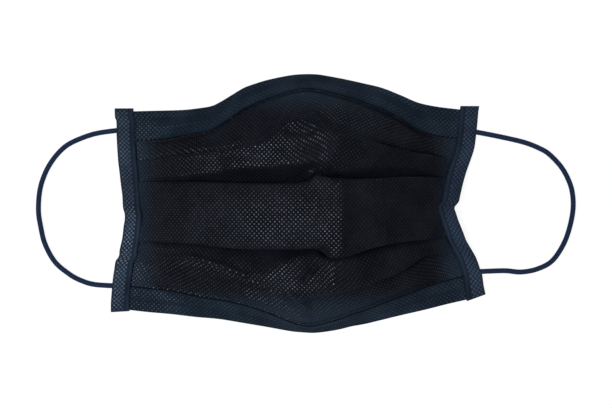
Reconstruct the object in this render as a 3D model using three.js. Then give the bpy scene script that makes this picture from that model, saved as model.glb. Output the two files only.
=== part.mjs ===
// A pleated medical face mask lying face up, opened into a shallow dome, with its two ear
// loops laid out on the surface beside it.
//
// Millimetres. +X runs from the wearer's one cheek to the other, +Y from the chin to the nose,
// +Z up from the surface that the mask lies on. The origin is under the middle of the mask.
import * as THREE from 'three';

const { Vector2, Vector3, MathUtils } = THREE;
const { lerp, smoothstep, degToRad } = MathUtils;

// ---------------------------------------------------------------- driving sizes
const CLOTH_WALL = 1.0; // the folded sheet
const LAYER_PITCH = 1.3; // from one folded layer to the next
const PRESSED_WALL = 0.25; // the same sheet where a side strip clamps it
const PRESSED_PITCH = 0.32;
const SHARPEST_MITRE = 0.6; // keeps a fold's outer corner from running to a point
const PRESS_RUN = 25; // the length over which the layers come together
const HEM_MARGIN_WALL = 0.4; // the sheet's margin inside a hem
const LEAF_WALL = 1.0; // one leaf of a folded strip or hem
const FIT_GAP = 0.3; // clearance between pieces that touch

const STRIP_WIDTH = 8.6;
const STRIP_SLOT = 4 * PRESSED_PITCH + PRESSED_WALL + 2 * FIT_GAP;
const STRIP_THICKNESS = STRIP_SLOT + 2 * LEAF_WALL;
const STRIP_FLAT_FROM = 0.7; // share of the way from waist to corner where a strip lies flat

const HEM_SLOT = 1.2; // holds the margin, and beyond it the nose wire
const HEM_HALF = HEM_SLOT / 2 + LEAF_WALL;
const NOSE_HEM_WIDTH = 13.8;
const CHIN_HEM_WIDTH = 11.3;
const HEM_TUCK = 5.4; // how far the sheet reaches into a hem
const HEM_TWIST_RUN = 30;
const HEM_CHAMFER = 0.4;

const WIRE = { width: 3.6, thickness: 0.5, fromEdge: 4.1, endSteps: 3 };

const PLEAT_DEPTH = 9.6;
const CROWN_X = 16; // the ridge of the dome
const LEFT_FALL = 2; // powers of the dome's fall to each side: the left one is rounder
const RIGHT_FALL = 1.5;
const OPENING_LAG = 1.5; // a pleat opens later than the dome rises
const PANEL_BULGE = 0.05; // how far a free panel bellies out, as a share of its length

const CORD_RADIUS = 1.15;
const LOOP_GAP = 0.5; // from a loop's end to the strip that holds it
const CORD_SIDES = 8;
const CORD_STEPS = 36;

const SHEET_COLUMNS = 30;
const HEM_STEPS = 50;
const SLOT_REACHES = [1.5, 5, STRIP_WIDTH]; // the sheet's columns inside a strip
const STRIP_RINGS = 22;

// Folds as they run across the mask, nose to chin: y at each named place, and the height of
// the fold at the crown of the dome.
const PLACES = [-84, -62, -42, -20, 4, 26, 50, 80];
const FOLDS = {
  noseEdge: { y: [43.0, 43.2, 45.2, 56.2, 60.4, 56.8, 49.5, 43.6], crown: 0 },
  upperPleat: { y: [19.6, 20.9, 23.3, 27.3, 36.6, 28.9, 23.7, 20.6], crown: 29 },
  centreTop: { y: [10.2, 9.6, 8.8, 8.2, 8.4, 9.7, 10.5, 10.8], crown: 34 },
  centreBottom: { y: [-16.5, -17.5, -18.6, -20.0, -20.6, -22.3, -16.7, -13.4], crown: 34 },
  lowerPleat: { y: [-28.0, -25.8, -29.0, -35.4, -40.3, -38.3, -31.0, -22.6], crown: 27 },
  chinEdge: { y: [-49.6, -51.4, -53.6, -57.0, -60.4, -57.8, -52.0, -43.0], crown: 0 },
};

// How far the two hems stand up from the surface at those places, in degrees.
const NOSE_HEM_TILT = [0, 22, 29, 40, 54, 48, 27, 0];
const CHIN_HEM_TILT = [0, 10, 28, 38, 68, 52, 28, 0];

// Where the hidden crease of each pleat lies from its outer fold once the pleat has opened.
const OPENED = {
  upperPleat: { y: 5.5, z: -6 },
  centreTop: { y: 7, z: -7 },
  centreBottom: { y: 2, z: -6 },
  lowerPleat: { y: 1.5, z: -6 },
};

// The side strips, chin to nose: x of the outer edge at each y, and how far the waist lifts
// (millimetres) and rolls inwards (degrees).
const LEFT_STRIP = {
  inward: 1,
  y: [-50.6, -36, -23, -9, 4, 20, 44.4],
  x: [-87.6, -86.7, -83.6, -81.1, -82.5, -84.3, -85.9],
  waistY: -7,
  halfLength: 44,
  waistLift: 2.5,
  waistRoll: 15,
};
const RIGHT_STRIP = {
  inward: -1,
  y: [-44.8, -33, -22, -5, 6, 20, 45.0],
  x: [87.5, 86.3, 81.2, 74.0, 75.9, 80.2, 84.1],
  waistY: -3,
  halfLength: 44,
  waistLift: 4.5,
  waistRoll: 15,
};

// Routes of the two ear loops on the surface, from the nose end to the chin end.
const LEFT_LOOP = [
  [-93, 32.9], [-99, 31.3], [-106, 28.4], [-110.6, 25.2], [-115.1, 20], [-118.6, 13.8],
  [-121, 6.1], [-121.7, -3.3], [-120.7, -10.8], [-118.6, -19.3], [-113.9, -27.7],
  [-107.2, -33.4], [-101.9, -36.3], [-95.7, -38.2],
];
const LEFT_LOOP_ENDS = [34.1, -38.9];
const RIGHT_LOOP = [
  [93.6, 31.3], [105.8, 28.5], [113.1, 25.7], [117.8, 22.9], [123.1, 17.4], [126.5, 11.7],
  [128.6, 5.5], [129.1, -2.3], [127.6, -10.9], [124.6, -19.3], [119.2, -27.2], [112.2, -31],
  [104.6, -32.4], [96.9, -31.8],
];
const RIGHT_LOOP_ENDS = [33.4, -32.2];

// ---------------------------------------------------------------- materials
const clothMaterial = new THREE.MeshStandardMaterial({ color: 0x15161b, roughness: 0.75 });
const hemMaterial = new THREE.MeshStandardMaterial({ color: 0x1a222e, roughness: 0.6 });
const wireMaterial = new THREE.MeshStandardMaterial({ color: 0xb9bdc2, roughness: 0.4, metalness: 1 });
const cordMaterial = new THREE.MeshStandardMaterial({ color: 0x1b2a47, roughness: 0.85 });

// ---------------------------------------------------------------- curves and closed meshes
// The smooth curve through (xs, ys), held level beyond its ends.
function through(xs, ys, x) {
  const last = xs.length - 1;
  const at = MathUtils.clamp(x, xs[0], xs[last]);
  let i = 0;
  while (i < last - 1 && at > xs[i + 1]) i += 1;
  const slope = (k) => {
    const before = Math.max(k - 1, 0);
    const after = Math.min(k + 1, last);
    return (ys[after] - ys[before]) / (xs[after] - xs[before]);
  };
  const run = xs[i + 1] - xs[i];
  const t = (at - xs[i]) / run;
  const t2 = t * t;
  const t3 = t2 * t;
  const fromStart = (2 * t3 - 3 * t2 + 1) * ys[i] + (t3 - 2 * t2 + t) * run * slope(i);
  const fromEnd = (3 * t2 - 2 * t3) * ys[i + 1] + (t3 - t2) * run * slope(i + 1);
  return fromStart + fromEnd;
}

// A mesh from shared points and triangles, turned so that its faces point outwards.
function closedMesh(name, points, triangles, material) {
  let volume = 0;
  for (const [a, b, c] of triangles) {
    volume += points[a].dot(new Vector3().crossVectors(points[b], points[c]));
  }
  const faces = volume < 0 ? triangles.map(([a, b, c]) => [a, c, b]) : triangles;
  const geometry = new THREE.BufferGeometry().setFromPoints(points);
  geometry.setIndex(faces.flat());
  geometry.computeVertexNormals();
  const mesh = new THREE.Mesh(geometry, material);
  mesh.name = name;
  return mesh;
}

// The solid that a closed flat section sweeps: one ring of points for each stop on the way.
function sweptSolid(name, rings, section, material) {
  const count = section.length;
  const triangles = [];
  for (let ring = 0; ring < rings.length - 1; ring += 1) {
    for (let k = 0; k < count; k += 1) {
      const a = ring * count + k;
      const b = ring * count + ((k + 1) % count);
      triangles.push([a, b, b + count], [a, b + count, a + count]);
    }
  }
  const end = (rings.length - 1) * count;
  for (const [a, b, c] of THREE.ShapeUtils.triangulateShape(section, [])) {
    triangles.push([a, c, b], [a + end, b + end, c + end]);
  }
  return closedMesh(name, rings.flat(), triangles, material);
}

// A U-shaped section, open on one side: `reach` deep, with two leaves and a slot between.
// Its first axis runs in from the closed edge, its second across the thickness from `base`.
function foldedSection(reach, slot, base, chamfer) {
  const top = base + slot + 2 * LEAF_WALL;
  const outline = [
    [chamfer, base], [reach, base], [reach, base + LEAF_WALL], [reach / 2, base + LEAF_WALL],
    [LEAF_WALL, base + LEAF_WALL], [LEAF_WALL, top - LEAF_WALL], [reach / 2, top - LEAF_WALL],
    [reach, top - LEAF_WALL], [reach, top], [chamfer, top],
    [0, top - chamfer], [0, base + chamfer],
  ];
  return outline.map(([inwards, across]) => new Vector2(inwards, across));
}

// ---------------------------------------------------------------- side strips
// How far round its curl a strip is at y: 1 at the waist, 0 along its flat ends.
function curlOf(strip, y) {
  const share = Math.abs(y - strip.waistY) / strip.halfLength;
  return 1 - smoothstep(share, 0, STRIP_FLAT_FROM);
}

// The point of a strip at y, `inwards` from its outer edge and `up` through its thickness.
function stripPoint(strip, y, inwards, up) {
  const curl = curlOf(strip, y);
  const roll = degToRad(strip.waistRoll * curl);
  const across = inwards * Math.cos(roll) - up * Math.sin(roll);
  const height = inwards * Math.sin(roll) + up * Math.cos(roll);
  const edge = through(strip.y, strip.x, y);
  return new Vector3(edge + strip.inward * across, y, strip.waistLift * curl + height);
}

function sideStrip(name, strip) {
  const section = foldedSection(STRIP_WIDTH, STRIP_SLOT, 0, HEM_CHAMFER);
  const first = strip.y[0];
  const last = strip.y[strip.y.length - 1];
  const rings = [];
  for (let i = 0; i <= STRIP_RINGS; i += 1) {
    const y = lerp(first, last, i / STRIP_RINGS);
    rings.push(section.map((p) => stripPoint(strip, y, p.x, p.y)));
  }
  return sweptSolid(name, rings, section, hemMaterial);
}

// ---------------------------------------------------------------- folds
const STRIP_MIDDLE = STRIP_THICKNESS / 2;

// How high the dome has risen at x: 0 at a strip's inner edge, 1 at the crown.
function rise(x, innerLeft, innerRight) {
  if (x < CROWN_X) return 1 - Math.min(1, (CROWN_X - x) / (CROWN_X - innerLeft)) ** LEFT_FALL;
  return 1 - Math.min(1, (x - CROWN_X) / (innerRight - CROWN_X)) ** RIGHT_FALL;
}

// The inner edges of the two strips where a fold meets them, at a layer of the pressed stack.
function sidesOf(fold, layer) {
  const up = STRIP_MIDDLE + layer * PRESSED_PITCH;
  const left = stripPoint(LEFT_STRIP, fold.y[0], STRIP_WIDTH, up);
  const right = stripPoint(RIGHT_STRIP, fold.y[fold.y.length - 1], STRIP_WIDTH, up);
  return { left, right };
}

const SIDES = {
  upperPleat: sidesOf(FOLDS.upperPleat, 0),
  centreTop: sidesOf(FOLDS.centreTop, 2),
  centreBottom: sidesOf(FOLDS.centreBottom, 2),
  lowerPleat: sidesOf(FOLDS.lowerPleat, 0),
};

// A fold line's point in the upright plane at x, as (y, z).
function foldPoint(name, x) {
  const { left, right } = SIDES[name];
  const side = lerp(left.z, right.z, smoothstep(x, left.x, right.x));
  const height = lerp(side, FOLDS[name].crown, rise(x, left.x, right.x));
  return new Vector2(through(PLACES, FOLDS[name].y, x), height);
}

const INNER_LEFT = SIDES.centreTop.left.x;
const INNER_RIGHT = SIDES.centreTop.right.x;

// 0 where the layers are pressed together by a strip, 1 where they are free.
function freedom(x) {
  return smoothstep(Math.min(x - INNER_LEFT, INNER_RIGHT - x), 0, PRESS_RUN);
}

// One pleat at x: its outer fold is followed by the hidden crease under the next panel.
// `panelEnd` is the far end of the panel that covers the pleat, `outward` its open side.
function pleat(name, x, fold, panelEnd, outward) {
  const pitch = lerp(PRESSED_PITCH, LAYER_PITCH, freedom(x));
  const opened = rise(x, INNER_LEFT, INNER_RIGHT) ** OPENING_LAG;
  const covered = panelEnd.clone().sub(fold).setLength(PLEAT_DEPTH);
  const target = new Vector2(OPENED[name].y * outward, OPENED[name].z);
  const back = covered.lerp(target, opened);
  const down = new Vector2(opened * outward, -1).setLength(pitch);
  const foldUnder = fold.clone().add(down);
  const creaseOver = foldUnder.clone().add(back);
  const crease = creaseOver.clone().add(down);
  return { fold, foldUnder, creaseOver, crease };
}

// A hem at x: its outer edge, the direction in from it and the direction through it. It lies
// flat at the strips and stands up over HEM_TWIST_RUN.
function hemFrame(fold, tilts, outward, x) {
  const { left, right } = sidesOf(fold, 0);
  const twist = smoothstep(Math.min(x - left.x, right.x - x), 0, HEM_TWIST_RUN);
  const tilt = degToRad(through(PLACES, tilts, x) * twist);
  const inwards = new Vector2(-outward * Math.cos(tilt), Math.sin(tilt));
  const across = new Vector2(outward * Math.sin(tilt), Math.cos(tilt));
  const edge = new Vector2(through(PLACES, fold.y, x), 0).add(
    new Vector2(-outward * Math.sin(tilt) * HEM_HALF, Math.cos(tilt) * HEM_HALF),
  );
  return { edge, inwards, across };
}

const NOSE_HEM = hemLayout(FOLDS.noseEdge, NOSE_HEM_TILT, 1, NOSE_HEM_WIDTH);
const CHIN_HEM = hemLayout(FOLDS.chinEdge, CHIN_HEM_TILT, -1, CHIN_HEM_WIDTH);

function hemPoint(frame, fromEdge, offset) {
  return frame.edge.clone()
    .addScaledVector(frame.inwards, fromEdge)
    .addScaledVector(frame.across, offset);
}

// ---------------------------------------------------------------- the pleated sheet
// The sheet's folds in order from nose to chin. `layer` is the level of that fold in the
// stack pressed between a strip's leaves, and `steps` the facets to the next one.
const ROWS = [
  { name: 'noseTuck', hem: true, steps: 2 },
  { name: 'noseLine', hem: true, steps: 4, free: true },
  { name: 'upperCrease', layer: -2, steps: 1 },
  { name: 'upperCreaseOver', layer: -1, steps: 2 },
  { name: 'upperFoldUnder', layer: -1, steps: 1 },
  { name: 'upperFold', layer: 0, steps: 3, free: true },
  { name: 'topCrease', layer: 0, steps: 1 },
  { name: 'topCreaseOver', layer: 1, steps: 2 },
  { name: 'topFoldUnder', layer: 1, steps: 1 },
  { name: 'topFold', layer: 2, steps: 4, free: true },
  { name: 'bottomFold', layer: 2, steps: 1 },
  { name: 'bottomFoldUnder', layer: 1, steps: 2 },
  { name: 'bottomCreaseOver', layer: 1, steps: 1 },
  { name: 'bottomCrease', layer: 0, steps: 3, free: true },
  { name: 'lowerFold', layer: 0, steps: 1 },
  { name: 'lowerFoldUnder', layer: -1, steps: 2 },
  { name: 'lowerCreaseOver', layer: -1, steps: 1 },
  { name: 'lowerCrease', layer: -2, steps: 4, free: true },
  { name: 'chinLine', hem: true, steps: 2 },
  { name: 'chinTuck', hem: true, steps: 0 },
];

// The sheet cut upright at x: a (y, z) point for each of ROWS.
function sheetCut(x) {
  const upperFold = foldPoint('upperPleat', x);
  const topFold = foldPoint('centreTop', x);
  const bottomFold = foldPoint('centreBottom', x);
  const lowerFold = foldPoint('lowerPleat', x);
  const top = pleat('centreTop', x, topFold, bottomFold, 1);
  const bottom = pleat('centreBottom', x, bottomFold, topFold, -1);
  const upper = pleat('upperPleat', x, upperFold, top.crease, 1);
  const lower = pleat('lowerPleat', x, lowerFold, bottom.crease, -1);
  const nose = NOSE_HEM.frameAt(x);
  const chin = CHIN_HEM.frameAt(x);
  return [
    hemPoint(nose, NOSE_HEM_WIDTH - HEM_TUCK, 0), hemPoint(nose, NOSE_HEM_WIDTH, 0),
    upper.crease, upper.creaseOver, upper.foldUnder, upper.fold,
    top.crease, top.creaseOver, top.foldUnder, top.fold,
    bottom.fold, bottom.foldUnder, bottom.creaseOver, bottom.crease,
    lower.fold, lower.foldUnder, lower.creaseOver, lower.crease,
    hemPoint(chin, CHIN_HEM_WIDTH, 0), hemPoint(chin, CHIN_HEM_WIDTH - HEM_TUCK, 0),
  ];
}

// Points along a run of folds, `steps` to each, worked out by `between(i, t)`.
function alongFolds(between) {
  const fine = ROWS.flatMap((row, i) => {
    return Array.from({ length: row.steps }, (_, k) => between(i, k / row.steps));
  });
  fine.push(between(ROWS.length - 2, 1));
  return fine;
}

const LEFT_CUT = sheetCut(PLACES[0]);
const RIGHT_CUT = sheetCut(PLACES[PLACES.length - 1]);

// The sheet inside a strip's slot, `reach` in from the strip's outer edge.
function slotColumn(strip, reach) {
  const cut = strip.inward > 0 ? LEFT_CUT : RIGHT_CUT;
  const levels = ROWS.map((row, i) => (row.hem ? cut[i].y : STRIP_MIDDLE + row.layer * PRESSED_PITCH));
  return alongFolds((i, t) => {
    return stripPoint(strip, lerp(cut[i].x, cut[i + 1].x, t), reach, lerp(levels[i], levels[i + 1], t));
  });
}

// The sheet between the strips, `share` of the way across, its free panels bellying outwards.
function freeColumn(share) {
  const points = ROWS.map((row, i) => {
    const fromX = stripPoint(LEFT_STRIP, LEFT_CUT[i].x, STRIP_WIDTH, STRIP_MIDDLE).x;
    const toX = stripPoint(RIGHT_STRIP, RIGHT_CUT[i].x, STRIP_WIDTH, STRIP_MIDDLE).x;
    const x = lerp(fromX, toX, share);
    const point = sheetCut(x)[i];
    return new Vector3(x, point.x, point.y);
  });
  return alongFolds((i, t) => {
    const along = points[i + 1].clone().sub(points[i]);
    const belly = ROWS[i].free ? 4 * t * (1 - t) * PANEL_BULGE * freedom(points[i].x) : 0;
    const outwards = new Vector3(0, along.z, -along.y);
    return points[i].clone().addScaledVector(along, t).addScaledVector(outwards, belly);
  });
}

// Whether each of the subdivided points lies between the leaves of a hem.
const IN_HEM = ROWS.flatMap((row, i) => {
  const nextInHem = i + 1 < ROWS.length && ROWS[i + 1].hem;
  return Array.from({ length: Math.max(row.steps, 1) }, (_, k) => row.hem && (k === 0 || nextInHem));
});

function halfWall(x, inHem) {
  const wall = lerp(PRESSED_WALL, CLOTH_WALL, freedom(x));
  return (inHem ? Math.min(wall, HEM_MARGIN_WALL) : wall) / 2;
}

// The two faces of the wall along one column, offset square to its cut in the y-z plane.
function wallFaces(column) {
  const upper = [];
  const lower = [];
  column.forEach((point, i) => {
    const before = column[Math.max(i - 1, 0)];
    const after = column[Math.min(i + 1, column.length - 1)];
    const into = new Vector2(point.y - before.y, point.z - before.z).normalize();
    const out = new Vector2(after.y - point.y, after.z - point.z).normalize();
    const direction = into.clone().add(out).normalize();
    const leg = i < column.length - 1 ? out : into;
    const mitre = Math.max(SHARPEST_MITRE, direction.dot(leg));
    const half = halfWall(point.x, IN_HEM[i]) / mitre;
    const normal = new Vector3(0, direction.y, -direction.x).multiplyScalar(half);
    upper.push(point.clone().add(normal));
    lower.push(point.clone().sub(normal));
  });
  return { upper, lower };
}

function pleatedSheet() {
  const columns = [
    ...SLOT_REACHES.map((reach) => slotColumn(LEFT_STRIP, reach)),
    ...Array.from({ length: SHEET_COLUMNS - 1 }, (_, i) => freeColumn((i + 1) / SHEET_COLUMNS)),
    ...SLOT_REACHES.toReversed().map((reach) => slotColumn(RIGHT_STRIP, reach)),
  ];
  const rowCount = columns[0].length;
  const points = columns.flatMap((column) => {
    const { upper, lower } = wallFaces(column);
    return [...upper, ...lower];
  });
  const at = (column, row, side) => column * 2 * rowCount + side * rowCount + row;
  const triangles = [];
  const quad = (a, b, c, d) => triangles.push([a, b, c], [a, c, d]);
  const lastColumn = columns.length - 1;
  const lastRow = rowCount - 1;
  for (let c = 0; c < lastColumn; c += 1) {
    for (let r = 0; r < lastRow; r += 1) {
      quad(at(c, r, 0), at(c + 1, r, 0), at(c + 1, r + 1, 0), at(c, r + 1, 0));
      quad(at(c, r, 1), at(c, r + 1, 1), at(c + 1, r + 1, 1), at(c + 1, r, 1));
    }
    quad(at(c, 0, 0), at(c, 0, 1), at(c + 1, 0, 1), at(c + 1, 0, 0));
    quad(at(c, lastRow, 0), at(c + 1, lastRow, 0), at(c + 1, lastRow, 1), at(c, lastRow, 1));
  }
  for (let r = 0; r < lastRow; r += 1) {
    quad(at(0, r, 0), at(0, r + 1, 0), at(0, r + 1, 1), at(0, r, 1));
    quad(at(lastColumn, r, 0), at(lastColumn, r, 1), at(lastColumn, r + 1, 1), at(lastColumn, r + 1, 0));
  }
  return closedMesh('pleated_body', points, triangles, clothMaterial);
}

// ---------------------------------------------------------------- hems and nose wire
// A hem's frame function, its width and the stretch of x between the two strips.
function hemLayout(fold, tilts, outward, width) {
  const frameAt = (x) => hemFrame(fold, tilts, outward, x);
  const leftY = fold.y[0];
  const rightY = fold.y[fold.y.length - 1];
  const fromX = innerEdge(LEFT_STRIP, leftY, leftY - outward * width);
  const toX = innerEdge(RIGHT_STRIP, rightY, rightY - outward * width);
  return { frameAt, width, fromX, toX };
}

// The furthest in that a strip reaches over a stretch of y, and the gap to it.
function innerEdge(strip, fromY, toY) {
  const reaches = [0, 0.25, 0.5, 0.75, 1].map((share) => {
    return stripPoint(strip, lerp(fromY, toY, share), STRIP_WIDTH, 0).x;
  });
  return strip.inward > 0 ? Math.max(...reaches) + FIT_GAP : Math.min(...reaches) - FIT_GAP;
}

// A section carried along a hem, from one of its HEM_STEPS to another.
function alongHem(name, layout, section, fromStep, toStep, material) {
  const rings = [];
  for (let i = fromStep; i <= toStep; i += 1) {
    const x = lerp(layout.fromX, layout.toX, i / HEM_STEPS);
    const frame = layout.frameAt(x);
    rings.push(section.map((p) => {
      const point = hemPoint(frame, p.x, p.y);
      return new Vector3(x, point.x, point.y);
    }));
  }
  return sweptSolid(name, rings, section, material);
}

function hem(name, layout) {
  const section = foldedSection(layout.width, HEM_SLOT, -HEM_HALF, HEM_CHAMFER);
  return alongHem(name, layout, section, 0, HEM_STEPS, hemMaterial);
}

function noseWire(layout) {
  const { width, thickness, fromEdge, endSteps } = WIRE;
  const half = thickness / 2;
  const section = [
    new Vector2(fromEdge, -half), new Vector2(fromEdge + width, -half),
    new Vector2(fromEdge + width, half), new Vector2(fromEdge, half),
  ];
  return alongHem('nose_wire', layout, section, endSteps, HEM_STEPS - endSteps, wireMaterial);
}

// ---------------------------------------------------------------- ear loops
// A round cord on the surface. Its two ends stop just short of the strip's outer edge.
function earLoop(name, strip, route, endYs) {
  const toEdge = (y) => {
    const edge = through(strip.y, strip.x, y);
    return [edge - strip.inward * LOOP_GAP, y];
  };
  const places = [toEdge(endYs[0]), ...route, toEdge(endYs[1])];
  const path = new THREE.CatmullRomCurve3(
    places.map(([x, y]) => new Vector3(x, y, CORD_RADIUS)), false, 'centripetal',
  );
  const section = [];
  for (let k = 0; k < CORD_SIDES; k += 1) {
    const turn = (2 * Math.PI * (k + 0.5)) / CORD_SIDES;
    section.push(new Vector2(CORD_RADIUS * Math.cos(turn), CORD_RADIUS * Math.sin(turn)));
  }
  const geometry = new THREE.ExtrudeGeometry(new THREE.Shape(section), {
    steps: CORD_STEPS, extrudePath: path, bevelEnabled: false,
  });
  const mesh = new THREE.Mesh(geometry, cordMaterial);
  mesh.name = name;
  return mesh;
}

// ---------------------------------------------------------------- assembly
const mask = new THREE.Group();
mask.add(pleatedSheet());
mask.add(hem('nose_hem', NOSE_HEM));
mask.add(noseWire(NOSE_HEM));
mask.add(hem('chin_hem', CHIN_HEM));
mask.add(sideStrip('left_side_strip', LEFT_STRIP));
mask.add(sideStrip('right_side_strip', RIGHT_STRIP));
mask.add(earLoop('left_ear_loop', LEFT_STRIP, LEFT_LOOP, LEFT_LOOP_ENDS));
mask.add(earLoop('right_ear_loop', RIGHT_STRIP, RIGHT_LOOP, RIGHT_LOOP_ENDS));

export default mask;
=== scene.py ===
# %% [markdown]
# # A pleated face mask, lying face up
#
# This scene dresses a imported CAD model. The CAD gives plain solids of the same size, and
# every cloth piece is remade here as the thin sheet that it really is: a folded nonwoven
# body, two folded hems, two welded side strips and two elastic ear loops. Everything is
# worked out in millimetres and divided by 1000 when it becomes a mesh.

# %% Load the frame
import math

import bmesh
import bpy
import numpy as np
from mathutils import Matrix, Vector
from mathutils import noise as math_noise


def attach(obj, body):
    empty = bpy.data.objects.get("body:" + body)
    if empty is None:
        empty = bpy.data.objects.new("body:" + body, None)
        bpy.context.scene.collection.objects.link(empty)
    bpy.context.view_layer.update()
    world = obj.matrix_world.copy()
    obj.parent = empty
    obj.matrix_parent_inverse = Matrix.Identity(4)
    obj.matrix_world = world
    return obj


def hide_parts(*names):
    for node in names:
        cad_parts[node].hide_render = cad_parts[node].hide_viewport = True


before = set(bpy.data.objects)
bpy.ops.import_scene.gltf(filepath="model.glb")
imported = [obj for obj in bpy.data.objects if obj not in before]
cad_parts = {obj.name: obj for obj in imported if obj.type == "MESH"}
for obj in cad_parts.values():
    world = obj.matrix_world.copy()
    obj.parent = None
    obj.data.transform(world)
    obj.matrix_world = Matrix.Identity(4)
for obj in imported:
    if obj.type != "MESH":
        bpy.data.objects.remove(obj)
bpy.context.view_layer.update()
MM = 0.001

# %% [markdown]
# ## Camera
#
# The mask is seen from straight above. The rim lies close to the surface, square to the lens,
# so it is hardly distorted. The dome is nearer and grows a little, as it does to the eye.

# %% Place the camera
VIEW_HEIGHT = 0.65
VIEW_WIDTH = 0.2876  # the stretch of surface that the picture takes in
VIEW_CENTRE = (0.0038, -0.0005)

camera_data = bpy.data.cameras.new("overhead")
camera_data.sensor_width = 36.0
camera_data.lens = camera_data.sensor_width * VIEW_HEIGHT / VIEW_WIDTH
camera = bpy.data.objects.new("overhead", camera_data)
camera.location = (*VIEW_CENTRE, VIEW_HEIGHT)
bpy.context.scene.collection.objects.link(camera)
bpy.context.scene.camera = camera
print("lens", round(camera_data.lens, 1), "mm")

# %% [markdown]
# ## Smooth curves through a few places
#
# Folds, edges and strips are given at a handful of places and run smoothly between them. One
# small helper does this for all of them, so that pieces which meet follow the same curve.


# %% A smooth curve through points
def through(xs, ys, x):
    """The smooth curve through (xs, ys) at x, held level beyond its ends."""
    last = len(xs) - 1
    at = min(max(x, xs[0]), xs[last])
    i = 0
    while i < last - 1 and at > xs[i + 1]:
        i += 1

    def slope(k):
        """The slope at a place, from its neighbours."""
        before, after = max(k - 1, 0), min(k + 1, last)
        return (ys[after] - ys[before]) / (xs[after] - xs[before])

    run = xs[i + 1] - xs[i]
    t = (at - xs[i]) / run
    from_start = (2 * t**3 - 3 * t**2 + 1) * ys[i] + (t**3 - 2 * t**2 + t) * run * slope(i)
    from_end = (3 * t**2 - 2 * t**3) * ys[i + 1] + (t**3 - t**2) * run * slope(i + 1)
    return from_start + from_end


def lerp(a, b, t):
    """The value t of the way from a to b."""
    return a + (b - a) * t


def smoothstep(x, low, high):
    """0 below low, 1 above high, and smooth between them."""
    t = min(max((x - low) / (high - low), 0.0), 1.0)
    return t * t * (3 - 2 * t)


def bump(x, centre, half_width):
    """A smooth hill, 1 at its centre and 0 beyond half_width."""
    t = min(abs(x - centre) / half_width, 1.0)
    return (1 - t * t) ** 2


# %% [markdown]
# ## Side strips: where the edges are
#
# On the real mask a strip of nonwoven is wrapped round each side edge and welded through the
# pressed pleats. The strip bows in at its waist, where the open dome pulls on it, and lifts a
# little there. Its ends lie flat on the surface. The strips come first because the loops, the
# hems and the sheet all end at them.

# %% The strips' course
STRIP_WIDTH = 8.6
STRIP_SLOT = 1.5  # holds the pressed layers of the sheet
LEAF = 0.34  # the thickness of one leaf of the folded strip
STRIP_THICKNESS = STRIP_SLOT + 2 * LEAF
STRIP_MIDDLE = STRIP_THICKNESS / 2
STRIP_FLAT_FROM = 0.7  # beyond this share of the way from waist to end a strip lies flat

LEFT_STRIP = {
    "inward": 1,
    "y": [-51.2, -47.4, -41.7, -36.1, -30.5, -27.2, -25.1, -22.0, -16.4, -10.8, -8.0, -5.2, -2.3,
          3.3, 8.9, 14.5, 20.2, 31.4, 38.4, 39.9, 42.7, 44.3],
    "x": [-87.6, -87.6, -87.2, -86.7, -85.8, -85.1, -83.6, -83.1, -81.7, -80.9, -80.4, -80.4, -81.2,
          -81.7, -82.6, -83.4, -84.2, -84.9, -85.0, -85.6, -85.8, -85.8],
    "waist_y": -7,
    "half_length": 44,
    "lift": 2.5,
    "roll": 18,
    "skew": 0.06,
}
RIGHT_STRIP = {
    "inward": -1,
    "y": [-42.9, -38.8, -33.2, -31.3, -27.6, -24.8, -22.0, -17.8, -13.6, -8.0, -5.1, -2.1,
          0.5, 3.3, 8.9, 14.5, 20.1, 25.7, 31.3, 37.0, 42.6, 45.4],
    "x": [87.9, 87.0, 86.2, 85.4, 84.1, 82.8, 81.1, 78.5, 76.7, 74.3, 73.3, 72.5,
          74.4, 75.2, 76.7, 78.5, 80.7, 82.6, 83.4, 84.0, 84.5, 84.9],
    "waist_y": -3,
    "half_length": 44,
    "lift": 4.5,
    "roll": 18,
    "skew": -0.36,
}


def curl(strip, y):
    """How far a strip has curled up at y: 1 at the waist, 0 along its flat ends."""
    share = abs(y - strip["waist_y"]) / strip["half_length"]
    return 1 - smoothstep(share, 0, STRIP_FLAT_FROM)


def strip_point(strip, y, inwards, up):
    """The point `inwards` from a strip's outer edge and `up` through its thickness."""
    c = curl(strip, y)
    roll = math.radians(strip["roll"] * c)
    across = inwards * math.cos(roll) - up * math.sin(roll)
    height = inwards * math.sin(roll) + up * math.cos(roll)
    edge = through(strip["y"], strip["x"], y)
    return Vector((edge + strip["inward"] * across, y, strip["lift"] * c + height))


print("strip waists at", max(LEFT_STRIP["x"]), "and", min(RIGHT_STRIP["x"]), "mm")

# %% [markdown]
# ## Ear loops
#
# Each loop is one round knitted elastic cord whose two ends are welded into the side strip.
# It is a limp cord lying on the surface, so its route stays flat at its own radius, and it
# leaves the strip nearly at right angles before it turns. A tube of mesh carries a UV map with
# millimetres along and around the cord, which the knit pattern follows later.

# %% Routes of the two loops
CORD_RADIUS = 1.2
WELDED_CORD = 0.55  # the cord is pressed to this share of its height where it is welded in
WELD_RUN = (0.8, 3.2)  # and is round again between these distances from its end
CORD_SIDES = 20
CORD_STEP = 0.55
MERGE_DISTANCE = 0.001  # points nearer than this are one
FINE_STEPS = 40  # steps between two places of a route, to measure its length
TUCK = 0.9  # how far a loop's end runs into its strip

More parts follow.
